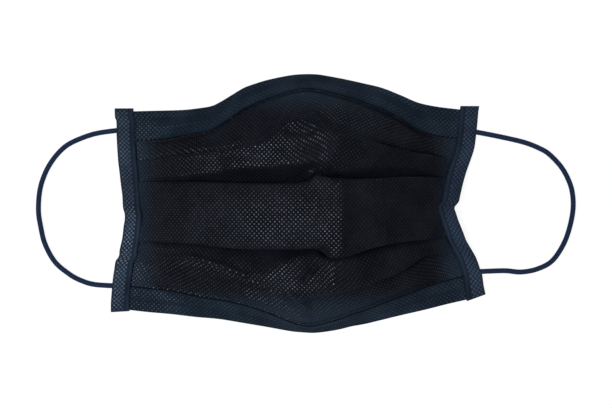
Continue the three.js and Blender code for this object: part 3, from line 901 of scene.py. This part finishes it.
PRESSED_WALL_SHARE = 0.55  # the wall between a strip's leaves, as a share of the free one
sheet = laid_grid(
    "nonwoven_sheet",
    len(columns),
    len(ROW_PLACES),
    map_at=lambda column, row: (across_run[column], cloth_v[column][row]),
    place_at=lambda column, row: columns[column][row],
    wall_at=lambda place: lerp(PRESSED_WALL_SHARE, 1, freedom(place.x)),
)
print("sheet", len(sheet.data.polygons), "faces")

# %% [markdown]
# ## The sheet's wall
#
# Solidify gives the folded surface the thickness of three bonded layers, which is a guess.
# Its vertex group thins the wall where a strip presses the layers. Where folds lie closer
# than the wall is thick, the walls pass into each other; Solidify doesn't look for that.

# %% Give the sheet its wall
wall = sheet.modifiers.new("wall", "SOLIDIFY")
wall.thickness = SHEET_WALL * MM
wall.offset = 0.0
wall.vertex_group = "wall"
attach(sheet, "root")
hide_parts("pleated_body")

# %% [markdown]
# ## Hems
#
# A hem is a band folded round the sheet's edge and spot-welded in rows. Its section is drawn
# once as a folded line, from the hidden leaf round the edge to the leaf that shows, and a
# grid follows that line across the mask. The nose hem carries the wire, so the leaf that
# shows stands up over it in a smooth channel.

# %% Sections of the two hems
# Each section is a list of (distance in from the edge, height through the hem).
HEM_LEAF = 0.3
NOSE_SECTION = [
    (13.8, -0.42), (9, -0.45), (3, -0.45), (1, -0.44), (0.35, -0.34), (0.0, 0.0), (0.3, 0.34),
    (0.9, 0.47), (1.6, 0.42), (3.4, 0.42), (3.9, 0.55), (4.3, 0.86), (5.0, 0.98), (6.6, 0.98),
    (7.3, 0.86), (7.8, 0.55), (8.3, 0.42), (10.6, 0.42), (11.2, 0.47), (12.8, 0.47), (13.8, 0.55),
]
CHIN_SECTION = [
    (11.3, -0.42), (7, -0.45), (2.4, -0.45), (1, -0.44), (0.35, -0.34), (0.0, 0.0), (0.3, 0.34),
    (0.9, 0.47), (1.6, 0.42), (4.6, 0.42), (5.2, 0.50), (6.4, 0.50), (7.0, 0.42), (9.6, 0.42),
    (9.9, 0.47), (10.5, 0.47), (11.3, 0.55),
]
HEM_COLUMNS = 280
SECTION_STEP = 0.45
TUCKED = 1.0  # how far a hem's end runs into the strip
FLAT_HEM = 0.42  # beside a strip no part of a hem stands higher than this
CHANNEL_RUN = (4.0, 16.0)  # its raised parts rise between these distances from a strip
print("sections of", len(NOSE_SECTION), "and", len(CHIN_SECTION), "places")

# %% [markdown]
# ## Following a section across the mask
#
# The few places of a section become short even steps, which are the rows of the hem's grid.
# Its own map tells how far round the fold a point lies, for the rows of spot welds.


# %% Fold the hems
def fine_section(section):
    """The section's line in short even steps: (inwards, height, distance from the edge)."""
    run = [0.0]
    for a, b in zip(section, section[1:]):
        run.append(run[-1] + math.dist(a, b))
    at_edge = run[[p[0] for p in section].index(0.0)]
    count = int(run[-1] / SECTION_STEP)
    inwards, heights = [p[0] for p in section], [p[1] for p in section]
    places = [run[-1] * k / count for k in range(count + 1)]
    return [(through(run, inwards, p), through(run, heights, p), p - at_edge) for p in places]


HEM_RUNS = {}  # each hem's length along its fold


def hem_band(name, section, point_at, edge_name, outward):
    """A grid that follows the section round the hem and runs across the mask."""
    fine = fine_section(section)
    ys = FOLDS[edge_name]["y"]
    reach = STRIP_WIDTH - TUCKED

    def ends(inwards):
        """The x of the hem's two ends, inside the strips."""
        left = strip_point(LEFT_STRIP, ys[0] - outward * inwards, reach, STRIP_MIDDLE).x
        right = strip_point(RIGHT_STRIP, ys[-1] - outward * inwards, reach, STRIP_MIDDLE).x
        return left, right

    grid = []
    for inwards, height, _ in fine:
        left, right = ends(inwards)
        line = []
        for column in range(HEM_COLUMNS + 1):
            x = lerp(left, right, column / HEM_COLUMNS)
            raised = smoothstep(min(x - left, right - x), *CHANNEL_RUN)
            up = lerp(FLAT_HEM, height, raised) if height > FLAT_HEM else height
            point = point_at(x, inwards, min(height, up))
            line.append(Vector((x, point.x, point.y)))
        grid.append(line)
    across = running(grid[len(fine) // 2])
    HEM_RUNS[name] = across[-1]
    return laid_grid(
        name,
        HEM_COLUMNS + 1,
        len(fine),
        map_at=lambda column, row: (across[column], fine[row][2]),
        place_at=lambda column, row: grid[row][column],
    )


def dressed(band, thickness, node):
    """Gives a folded band its leaf's thickness, hangs it from the root and hides its CAD node."""
    leaf = band.modifiers.new("leaf", "SOLIDIFY")
    leaf.thickness = thickness * MM
    leaf.offset = 0.0
    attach(band, "root")
    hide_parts(node)
    print(band.name, len(band.data.polygons), "faces")


nose_band = hem_band("nose_band", NOSE_SECTION, nose_hem_point, "nose_edge", 1)
chin_band = hem_band("chin_band", CHIN_SECTION, chin_hem_point, "chin_edge", -1)
dressed(nose_band, HEM_LEAF, "nose_hem")
dressed(chin_band, HEM_LEAF, "chin_hem")

# %% [markdown]
# ## Side strips
#
# The strip is the same idea turned upright: a section like a folded hem, carried from chin to
# nose along the strip's bowed course.

# %% Sections of the strips
STRIP_SECTION = [
    (8.6, 0.17), (5, 0.17), (1.2, 0.17), (0.4, 0.35), (0.05, 0.8), (0.0, 1.1), (0.05, 1.4),
    (0.4, 1.85), (1.2, 2.02), (5, 2.02), (6.6, 2.02), (6.9, 2.25), (7.2, 2.25), (7.5, 2.05),
    (8.1, 2.05), (8.6, 1.9),
]
STRIP_RINGS = 210
SKEW_RUN = 12.0  # a strip's chin end is cut aslant over this length
PINCHED = 0.42  # a strip is pressed to this share of its thickness at its ends
PINCH_RUN = 1.3  # over this length
WELD_PITCH = 2.0
WELD_RADIUS = 0.6
WELD_DEPTH = 0.13
WELDED = (0.9, 6.4)  # the welds lie between these distances from the outer edge
STRIP_HIGHLIGHT_AT = 8.2  # the painted highlight along the leaf that shows, near its inner edge, measured round the fold


def weld(along, inwards):
    """How deep the weld lattice presses the strip at a place, from 0 to 1."""
    if not WELDED[0] < inwards < WELDED[1]:
        return 0.0
    nearest = math.inf
    for shift in (0.0, 0.5):
        du = ((along / WELD_PITCH + shift) % 1 - 0.5) * WELD_PITCH
        dv = ((inwards / WELD_PITCH + shift) % 1 - 0.5) * WELD_PITCH
        nearest = min(nearest, math.hypot(du, dv))
    return bump(nearest, 0, WELD_RADIUS)


def side_band(name, strip):
    """A grid that follows the strip's section and runs from chin to nose."""
    fine = fine_section(STRIP_SECTION)
    first, last = strip["y"][0], strip["y"][-1]

    def place_at(column, row):
        """The place of one point of the strip, with its weld pits and pressed ends."""
        inwards, up, _ = fine[row]
        y = lerp(first, last, column / STRIP_RINGS)
        inside = 1 if up < STRIP_MIDDLE else -1
        up += inside * WELD_DEPTH * weld(y, inwards)
        pinch = lerp(PINCHED, 1, smoothstep(min(y - first, last - y), 0, PINCH_RUN))
        up = STRIP_MIDDLE + (up - STRIP_MIDDLE) * pinch
        place = strip_point(strip, y, inwards, up)
        place.y += inwards * strip["skew"] * (1 - smoothstep(y - first, 0, SKEW_RUN))
        return place

    return laid_grid(
        name,
        STRIP_RINGS + 1,
        len(fine),
        map_at=lambda column, row: (lerp(first, last, column / STRIP_RINGS), fine[row][2]),
        place_at=place_at,
    )


bands = {}
for side, strip in (("left", LEFT_STRIP), ("right", RIGHT_STRIP)):
    bands[side] = side_band(f"{side}_binding", strip)
    dressed(bands[side], LEAF, f"{side}_side_strip")


# %% [markdown]
# ## Materials
#
# Spunbonded nonwoven is a mat of fine filaments pressed together at a lattice of small bond
# points. The filaments are dull and the bond points are melted smooth, so they catch the
# light. A few nodes draw them as a staggered lattice of dots on each piece's map.


# %% Node helpers
def new_material(name):
    """A node material with only its Principled shader and output."""
    material = bpy.data.materials.new(name)
    material.use_nodes = True
    nodes = material.node_tree.nodes
    nodes.clear()
    output = nodes.new("ShaderNodeOutputMaterial")
    shader = nodes.new("ShaderNodeBsdfPrincipled")
    material.node_tree.links.new(shader.outputs["BSDF"], output.inputs["Surface"])
    return material, material.node_tree, shader


def math_node(tree, operation, a, b=None):
    """One step of arithmetic on numbers or sockets."""
    node = tree.nodes.new("ShaderNodeMath")
    node.operation = operation
    for socket, value in zip(node.inputs, (a, b)):
        if value is None:
            continue
        if isinstance(value, (int, float)):
            socket.default_value = value
        else:
            tree.links.new(value, socket)
    return node.outputs[0]


def ramp(tree, value, low, high, to_low=0.0, to_high=1.0):
    """Maps value from low..high smoothly to to_low..to_high."""
    node = tree.nodes.new("ShaderNodeMapRange")
    node.interpolation_type = "SMOOTHSTEP"
    tree.links.new(value, node.inputs["Value"])
    node.inputs["From Min"].default_value = low
    node.inputs["From Max"].default_value = high
    node.inputs["To Min"].default_value = to_low
    node.inputs["To Max"].default_value = to_high
    return node.outputs["Result"]


def noise(tree, vector, scale, detail=2.0, roughness=0.5):
    """Fractal noise over a map or a place."""
    node = tree.nodes.new("ShaderNodeTexNoise")
    node.inputs["Scale"].default_value = scale
    node.inputs["Detail"].default_value = detail
    node.inputs["Roughness"].default_value = roughness
    tree.links.new(vector, node.inputs["Vector"])
    return node.outputs["Fac"]


def mix_colour(tree, factor, first, second):
    """The first colour where the factor is 0 and the second where it is 1."""
    node = tree.nodes.new("ShaderNodeMix")
    node.data_type = "RGBA"
    tree.links.new(factor, node.inputs["Factor"])
    for socket, colour in ((node.inputs["A"], first), (node.inputs["B"], second)):
        if isinstance(colour, tuple):
            socket.default_value = (*colour, 1.0)
        else:
            tree.links.new(colour, socket)
    return node.outputs["Result"]


def vector_node(tree, operation, vector, value=None):
    """One step of vector arithmetic."""
    node = tree.nodes.new("ShaderNodeVectorMath")
    node.operation = operation
    tree.links.new(vector, node.inputs[0])
    if value is not None:
        node.inputs[1].default_value = value
    return node.outputs["Value" if operation == "LENGTH" else "Vector"]


def add_relief(tree, shader, height, depth):
    """Bumps the surface by a height, `depth` millimetres where it is 1."""
    relief = tree.nodes.new("ShaderNodeBump")
    relief.inputs["Distance"].default_value = depth * MM
    tree.links.new(height, relief.inputs["Height"])
    tree.links.new(relief.outputs["Normal"], shader.inputs["Normal"])


# %% [markdown]
# ## A staggered lattice of dots
#
# The bond points could be a picture or geometry. Two shifted lattices of round dots, worked
# out from the map, are lighter and stay sharp at any distance.


# %% A staggered lattice of dots
def dots(tree, uv, pitch, radius, soft):
    """1 inside the dots of a staggered lattice, 0 between them."""
    scaled = tree.nodes.new("ShaderNodeMapping")
    scaled.inputs["Scale"].default_value = (1 / pitch, 1 / pitch, 1)
    tree.links.new(uv, scaled.inputs["Vector"])
    distances = []
    for shift in (0.0, 0.5):
        moved = vector_node(tree, "ADD", scaled.outputs[0], (shift, shift, 0))
        cell = vector_node(tree, "FRACTION", moved)
        centred = vector_node(tree, "SUBTRACT", cell, (0.5, 0.5, 0))
        sized = vector_node(tree, "MULTIPLY", centred, (pitch, pitch, 0))
        distances.append(vector_node(tree, "LENGTH", sized))
    nearest = math_node(tree, "MINIMUM", *distances)
    return ramp(tree, nearest, radius - soft, radius + soft, 1.0, 0.0)


# %% [markdown]
# ## Painted light towards the edges
#
# The sheet is painted paler and bluer towards its edges. That is painted light, the bluish
# light that the cloth catches near its edges, and not dye. It is painted by place on the
# object, so it turns with the mask and doesn't answer to the light.

# %% Painted light towards the edges
EDGE_LIGHT_RUN = ((62.0, 78.0), (38.0, 54.0))  # the painted light comes in between these distances from the middle, in x and in y


def painted_edge_light(tree, shade, edge_light):
    """Blends a shade towards painted light, a paler and bluer shade, away from the middle of the
    mask.
    """
    place = tree.nodes.new("ShaderNodeTexCoord").outputs["Object"]
    split = tree.nodes.new("ShaderNodeSeparateXYZ")
    tree.links.new(place, split.inputs[0])
    share = None
    for axis, (low, high) in zip("XY", EDGE_LIGHT_RUN):
        away = math_node(tree, "ABSOLUTE", split.outputs[axis])
        side = ramp(tree, away, low * MM, high * MM)
        share = side if share is None else math_node(tree, "MAXIMUM", share, side)
    return mix_colour(tree, share, shade, edge_light)


# %% [markdown]
# ## Where the points show
#
# On the hems and strips the points are pressed in rows, with plainer cloth between them, and a
# strip also has a painted highlight along its inner edge. Both are picked out by how far round
# the fold they lie.

# %% Rows of points and a painted highlight
BAND_EDGE = 0.2  # the points fade over this distance to either side of a band's edge
END_BLEND = 4.0
END_STRENGTH = 0.8  # how full the points are beyond a hem's ends
HIGHLIGHT_CORE = 0.1  # the painted highlight is at full strength within this distance of its middle


def in_rows(tree, points, along, from_edge, bands, ends, faint):
    """The points at full strength in their bands and as faint as given elsewhere."""
    full = None
    if ends:
        off_centre = math_node(tree, "SUBTRACT", along, (ends[0] + ends[1]) / 2)
        off_centre = math_node(tree, "ABSOLUTE", off_centre)
        half = (ends[1] - ends[0]) / 2
        full = ramp(tree, off_centre, half - END_BLEND, half + END_BLEND, 0.0, END_STRENGTH)
    for low, high in bands:
        inside = math_node(
            tree,
            "MULTIPLY",
            ramp(tree, from_edge, low - BAND_EDGE, low + BAND_EDGE),
            ramp(tree, from_edge, high - BAND_EDGE, high + BAND_EDGE, 1.0, 0.0),
        )
        full = inside if full is None else math_node(tree, "MAXIMUM", full, inside)
    return math_node(tree, "MULTIPLY", points, ramp(tree, full, 0, 1, faint, 1.0))


def with_painted_highlight(tree, points, across, highlight_line):
    """The points with a painted highlight line: its place, its half width and its strength."""
    place, half_width, strength = highlight_line
    away = math_node(tree, "ABSOLUTE", math_node(tree, "SUBTRACT", across, place))
    line = ramp(tree, away, HIGHLIGHT_CORE, half_width, strength, 0.0)
    return math_node(tree, "MAXIMUM", points, line)


# %% [markdown]
# ## Nonwoven
#
# One function makes the sheet, the hems and the strips, which differ in shade, in how strong
# their points are and in where the points show. The gloss differs between filaments and
# points through a link on the shader. Blender renders it, but its glTF export writes nothing
# for a linked gloss, and a viewer then takes its usual one. That is far stronger than the
# filaments' gloss here, so the exported cloth should look shinier than the rendered one.

# %% Nonwoven
# painted shadow: the dark line beside a hem's cut edge, where that edge stands over the sheet
EDGE_SHADOW_SHADE = (0.001, 0.0015, 0.003)
POINT_EDGE = 0.4  # the soft edge of a point, as a share of its radius
EDGE_SHADOW_LINE = (0.15, 0.6, 0.75)  # of the painted shadow line: half width at full strength, half width in all, strength
FIBRES = (2.6, 4.0, 0.65)  # scale, detail and roughness of the filaments' noise
FIBRE_RELIEF = 0.35  # their height beside that of the points
CLOUDS = (0.07, 2.0, 0.5)  # the same of broad clouds of shade
CLOUD_SHADE = (0.75, 1.3)
GLINT_SCALE = 0.45
GLINTS = (0.65, 1.3)
FILAMENT_ROUGHNESS, POINT_ROUGHNESS = 0.72, 0.38
FILAMENT_GLOSS = 0.03
SOCKET_GLOSS = 0.3  # of the points' gloss, set under the link, where a render doesn't read it
NOISE_MIDDLE = (0.3, 0.7)  # the middle of a noise's range, spread to the whole
GLINT_MIDDLE = (0.35, 0.65)


def nonwoven(
    name, cloth, point, pitch, radius, depth, gloss,
    bands=None, faint=1.0, edge_light=None, highlight_line=None, cut=None, ends=None, tint=None,
):
    """Dull filaments with smooth bond points pressed into them.

    `bands` are the stretches of the UV's second direction, either side of 0, where the
    points are full; elsewhere they are as `faint` as given. A `highlight_line` is a painted
    highlight along a strip's inner edge: its distance from the edge, its half width and its
    strength. A `cut` is the distance of a painted shadow line beside a hem's cut edge, where
    that edge stands over the sheet. Beyond the two `ends` along a hem the points show in
    every row. An `edge_light` is the paler, bluer colour of painted light towards the edges,
    a `tint` that of highlights.
    """
    material, tree, shader = new_material(name)
    uv = tree.nodes.new("ShaderNodeTexCoord").outputs["UV"]
    points = dots(tree, uv, pitch, radius, radius * POINT_EDGE)
    if bands:
        split = tree.nodes.new("ShaderNodeSeparateXYZ")
        tree.links.new(uv, split.inputs[0])
        from_edge = math_node(tree, "ABSOLUTE", split.outputs["Y"])
        points = in_rows(tree, points, split.outputs["X"], from_edge, bands, ends, faint)
    # a painted highlight: a line in the points' paler colour, gloss and relief along a strip's
    # inner edge
    if highlight_line:
        points = with_painted_highlight(tree, points, split.outputs["Y"], highlight_line)
    fibres = noise(tree, uv, *FIBRES)
    blotch = ramp(tree, noise(tree, uv, *CLOUDS), *NOISE_MIDDLE, *CLOUD_SHADE)
    mixed = mix_colour(tree, points, cloth, point)
    worn = tree.nodes.new("ShaderNodeMix")
    worn.data_type = "RGBA"
    worn.blend_type = "MULTIPLY"
    worn.inputs["Factor"].default_value = 1.0
    tree.links.new(mixed, worn.inputs["A"])
    tree.links.new(blotch, worn.inputs["B"])
    shade = worn.outputs["Result"]
    # a painted shadow line beside a hem's cut edge, where that edge stands over the sheet
    if cut:
        beside = math_node(tree, "ABSOLUTE", math_node(tree, "SUBTRACT", from_edge, cut))
        shade = mix_colour(tree, ramp(tree, beside, *EDGE_SHADOW_LINE, 0.0), shade, EDGE_SHADOW_SHADE)
    # painted light: the sheet is painted paler and bluer towards its edges
    if edge_light:
        shade = painted_edge_light(tree, shade, edge_light)
    tree.links.new(shade, shader.inputs["Base Color"])
    rough = ramp(tree, points, 0, 1, FILAMENT_ROUGHNESS, POINT_ROUGHNESS)
    tree.links.new(rough, shader.inputs["Roughness"])
    shader.inputs["Specular IOR Level"].default_value = SOCKET_GLOSS * gloss
    glint = ramp(tree, noise(tree, uv, GLINT_SCALE, 1.0), *GLINT_MIDDLE, *GLINTS)
    shine = math_node(tree, "MULTIPLY", ramp(tree, points, 0, 1, FILAMENT_GLOSS, gloss), glint)
    tree.links.new(shine, shader.inputs["Specular IOR Level"])
    if tint:
        shader.inputs["Specular Tint"].default_value = (*tint, 1.0)
    filaments = math_node(tree, "MULTIPLY", fibres, FIBRE_RELIEF)
    add_relief(tree, shader, math_node(tree, "SUBTRACT", filaments, points), depth)
    shader.inputs["Sheen Weight"].default_value = 0.02
    shader.inputs["Sheen Tint"].default_value = (0.5, 0.68, 1.0, 1.0)
    shader.inputs["Sheen Roughness"].default_value = 0.5
    return material


# %% [markdown]
# ## Shades of the four nonwovens
#
# The sheet is nearly black, and the hems and strips are paler and bluer. The shades were set
# to look right in this scene's own light. So some of what they hold may be light and not dye,
# and in another light they may look wrong.

# %% The four nonwovens
DOT_PITCH = 2.1
EDGE_SHADOW_INSIDE = 0.2  # the painted shadow line lies this far in from a hem's cut edge
HEM_FINISH = {
    "cloth": (0.0088, 0.0146, 0.0230),
    "point": (0.0168, 0.0250, 0.0365),
    "pitch": DOT_PITCH,
    "radius": 0.38,
    "depth": 0.06,
    "gloss": 0.27,
    "tint": (0.72, 0.86, 1.0),
}
sheet_material = nonwoven(
    "black_nonwoven",
    cloth=(0.0063, 0.0066, 0.0091),
    point=(0.0056, 0.0060, 0.0084),
    pitch=DOT_PITCH,
    radius=0.36,
    depth=0.08,
    gloss=0.45,
    # painted light: the sheet's paler, bluer colour towards its edges
    edge_light=(0.0132, 0.0208, 0.0318),
    tint=(0.86, 0.92, 1.0),
)
nose_hem_material = nonwoven(
    "nose_hem_nonwoven",
    bands=[(0.3, 3.9), (8.2, 12.2)],
    faint=0.15,
    # a painted shadow line beside the hem's cut edge
    cut=fine_section(NOSE_SECTION)[-1][2] - EDGE_SHADOW_INSIDE,
    ends=(13.0, 144.0),
    **HEM_FINISH,
)
chin_hem_material = nonwoven(
    "chin_hem_nonwoven",
    bands=[(0.3, 4.4), (6.4, 10.2)],
    faint=0.5,
    # a painted shadow line beside the hem's cut edge
    cut=fine_section(CHIN_SECTION)[-1][2] - EDGE_SHADOW_INSIDE,
    **HEM_FINISH,
)
strip_material = nonwoven(
    "strip_nonwoven",
    cloth=(0.0112, 0.0172, 0.0294),
    point=(0.0245, 0.0362, 0.0590),
    pitch=WELD_PITCH,
    radius=0.5,
    depth=0.05,
    gloss=0.30,
    bands=[WELDED],
    faint=0.0,
    # a painted highlight along the strip's inner edge, where that edge catches the light
    highlight_line=(STRIP_HIGHLIGHT_AT, 0.45, 0.3),
    tint=(0.75, 0.88, 1.0),
)
sheet.data.materials.append(sheet_material)
nose_band.data.materials.append(nose_hem_material)
chin_band.data.materials.append(chin_hem_material)
for band in bands.values():
    band.data.materials.append(strip_material)
print("nonwoven materials", [m.name for m in bpy.data.materials if "nonwoven" in m.name])


# %% [markdown]
# ## Knitted elastic
#
# The loops are knitted round a soft core. A sine runs along the cord and slants one way and
# then the other across each column of stitches, which draws their V shapes. The grooves
# between and along the stitches are painted a darker navy as painted shade.

# %% Knitted elastic
WALES = 6  # columns of stitches round the cord
WALE = 2 * math.pi * CORD_RADIUS / WALES
COURSE = 0.8  # the height of one stitch
WALE_GROOVE = 0.12  # the groove between columns, as a share of their width
STITCH_DEPTH = 0.12
# painted shade: the grooves get the darker navy, the stitches the lighter one
GROOVE_SHADE_NAVY = (0.0025, 0.0063, 0.018)
STITCH_NAVY = (0.015, 0.038, 0.105)


def knitted_elastic(name):
    """Six columns of V-shaped stitches round a soft core."""
    material, tree, shader = new_material(name)
    uv = tree.nodes.new("ShaderNodeTexCoord").outputs["UV"]
    split = tree.nodes.new("ShaderNodeSeparateXYZ")
    tree.links.new(uv, split.inputs[0])
    along, around = split.outputs["X"], split.outputs["Y"]
    across_wale = math_node(tree, "PINGPONG", around, WALE / 2)
    slant = math_node(tree, "ADD", along, across_wale)
    waves = math_node(tree, "SINE", math_node(tree, "MULTIPLY", slant, 2 * math.pi / COURSE))
    stitches = ramp(tree, waves, -1, 1)
    groove = ramp(tree, across_wale, 0, WALE_GROOVE * WALE)
    ribs = math_node(tree, "MULTIPLY", stitches, groove)
    # the darker navy in the grooves is painted shade
    tree.links.new(mix_colour(tree, ribs, GROOVE_SHADE_NAVY, STITCH_NAVY), shader.inputs["Base Color"])
    shader.inputs["Roughness"].default_value = 0.8
    shader.inputs["Specular IOR Level"].default_value = 0.15
    shader.inputs["Sheen Weight"].default_value = 0.05
    add_relief(tree, shader, ribs, STITCH_DEPTH)
    return material


elastic_material = knitted_elastic("navy_elastic")
for cord in loops.values():
    cord.data.materials.append(elastic_material)

# %% [markdown]
# ## The nose wire
#
# The wire is a thin flat metal strip that lies hidden in the hem's channel and holds the
# bend over the nose. It is a box swept along the same course as the hem. It doesn't show, and
# its size is a guess.

# %% Wire strip
WIRE_FROM_EDGE = (7.4, 4.2)  # in from the mask's edge, at the wire's two sides
WIRE_HEIGHT = (0.18, 0.62)  # its under and upper face, through the hem
WIRE_ENDS = (-64.0, 60.0)
WIRE_STEPS = 150
WIRE_BEVEL = 0.12  # as a share of the box before it is sized
GRAIN_SCALE = 900.0
SATIN = (0.32, 0.48)  # the range of its roughness


def satin_metal(name):
    """Drawn metal with a fine grain in its roughness."""
    material, tree, shader = new_material(name)
    place = tree.nodes.new("ShaderNodeTexCoord").outputs["Object"]
    grain = noise(tree, place, GRAIN_SCALE, 2.0)
    tree.links.new(ramp(tree, grain, *NOISE_MIDDLE, *SATIN), shader.inputs["Roughness"])
    shader.inputs["Base Color"].default_value = (0.72, 0.73, 0.75, 1)
    shader.inputs["Metallic"].default_value = 1.0
    return material


def long_edges(bm):
    """The edges that run the box's full length."""
    return [e for e in bm.edges if abs(e.verts[0].co.x - e.verts[1].co.x) > 0.5]


bm = bmesh.new()
bmesh.ops.create_cube(bm, size=1.0)
bmesh.ops.bevel(
    bm,
    geom=long_edges(bm),
    offset=WIRE_BEVEL,
    segments=2,
    profile=0.5,
    affect="EDGES",
    material=-1,
)
bmesh.ops.subdivide_edges(bm, edges=long_edges(bm), cuts=WIRE_STEPS - 1, use_grid_fill=True)
for vert in bm.verts:
    x = lerp(*WIRE_ENDS, vert.co.x + 0.5)
    inwards = lerp(*WIRE_FROM_EDGE, vert.co.y + 0.5)
    point = nose_hem_point(x, inwards, lerp(*WIRE_HEIGHT, vert.co.z + 0.5))
    vert.co = (x, point.x, point.y)
wire = finished("wire_strip", bm, smooth=False)
wire.data.materials.append(satin_metal("satin_wire"))
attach(wire, "root")
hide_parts("nose_wire")
print("wire", len(wire.data.polygons), "faces")

# %% [markdown]
# ## Cut sizes
#
# For the hems and the strips the size that they were cut to is printed: their run as drawn by
# twice their width. The pleated sheet's width is measured along its middle row. Its length is
# the plan's: the drawn columns are a tenth longer on average, and over a quarter longer at
# worst.

for band, width in ((nose_band, NOSE_HEM_WIDTH), (chin_band, CHIN_HEM_WIDTH)):
    run = HEM_RUNS[band.name]
    print(band.name, "runs", round(run, 1), "mm and opens to", round(2 * width, 1), "mm wide")


def strip_run(strip):
    """The length of a side strip down its middle, from chin to nose."""
    first, last = strip["y"][0], strip["y"][-1]
    ys = [lerp(first, last, k / STRIP_RINGS) for k in range(STRIP_RINGS + 1)]
    return running([strip_point(strip, y, STRIP_WIDTH / 2, STRIP_MIDDLE) for y in ys])[-1]


for side, strip in (("left", LEFT_STRIP), ("right", RIGHT_STRIP)):
    run = strip_run(strip)
    print(side, "strip runs", round(run, 1), "mm and opens to", round(2 * STRIP_WIDTH, 1), "mm")

# %% [markdown]
# ## Surface and light
#
# The mask lies on a plain white surface. It glows by itself, so that it stays near white in a
# light that suits the dark cloth, and it doesn't show in the cloth's reflections. A real
# table does neither.

# %% The surface
SURFACE_SIZE = 3000
bm = bmesh.new()
bmesh.ops.create_grid(bm, x_segments=1, y_segments=1, size=SURFACE_SIZE)
floor = finished("white_surface", bm, smooth=False)
floor_material, _, floor_shader = new_material("white_surface")
floor_shader.inputs["Base Color"].default_value = (0.12, 0.12, 0.12, 1)
floor_shader.inputs["Roughness"].default_value = 0.9
floor_shader.inputs["Emission Color"].default_value = (1, 1, 1, 1)
floor_shader.inputs["Emission Strength"].default_value = 0.9
floor.data.materials.append(floor_material)
floor.visible_glossy = False

# %% [markdown]
# ## Lights
#
# A small key light stands high on the left. A broad fill on the right brightens the cloth and
# leaves no glint, which a real lamp can't do. Three weaker, cooler lights stand lower, two on
# the chin's side and one on the nose's. A faint cool background adds a little all round.


# %% Lights
def softbox(name, place, size, power, target=(0, 0, 0)):
    """A square area light that faces its target."""
    data = bpy.data.lights.new(name, "AREA")
    data.shape = "SQUARE"
    data.size = size
    data.energy = power
    light = bpy.data.objects.new(name, data)
    light.location = place
    light.rotation_euler = (Vector(target) - Vector(place)).to_track_quat("-Z", "Y").to_euler()
    bpy.context.scene.collection.objects.link(light)
    return light


softbox("key", place=(-0.5, -0.12, 1.05), size=0.4, power=10.2).data.color = (0.93, 0.96, 1.0)
fill = softbox("fill", place=(0.95, -0.2, 1.0), size=2.4, power=9.5)
fill.data.color = (0.93, 0.97, 1.0)
fill.visible_glossy = False  # it brightens the cloth and leaves no glint on the bond points
softbox("low left", place=(-0.55, -0.8, 0.16), size=0.3, power=0.6).data.color = (0.7, 0.88, 1.0)
softbox("low window", place=(0.25, -0.95, 0.45), size=0.5, power=1.6).data.color = (0.75, 0.9, 1.0)
softbox("far window", place=(0.35, 0.95, 0.5), size=0.6, power=3.0).data.color = (0.8, 0.92, 1.0)
world = bpy.data.worlds.new("studio")
world.use_nodes = True
world.node_tree.nodes["Background"].inputs["Color"].default_value = (0.85, 0.93, 1, 1)
world.node_tree.nodes["Background"].inputs["Strength"].default_value = 0.06
bpy.context.scene.world = world
bpy.context.scene.view_settings.view_transform = "Standard"
print("lights ready")
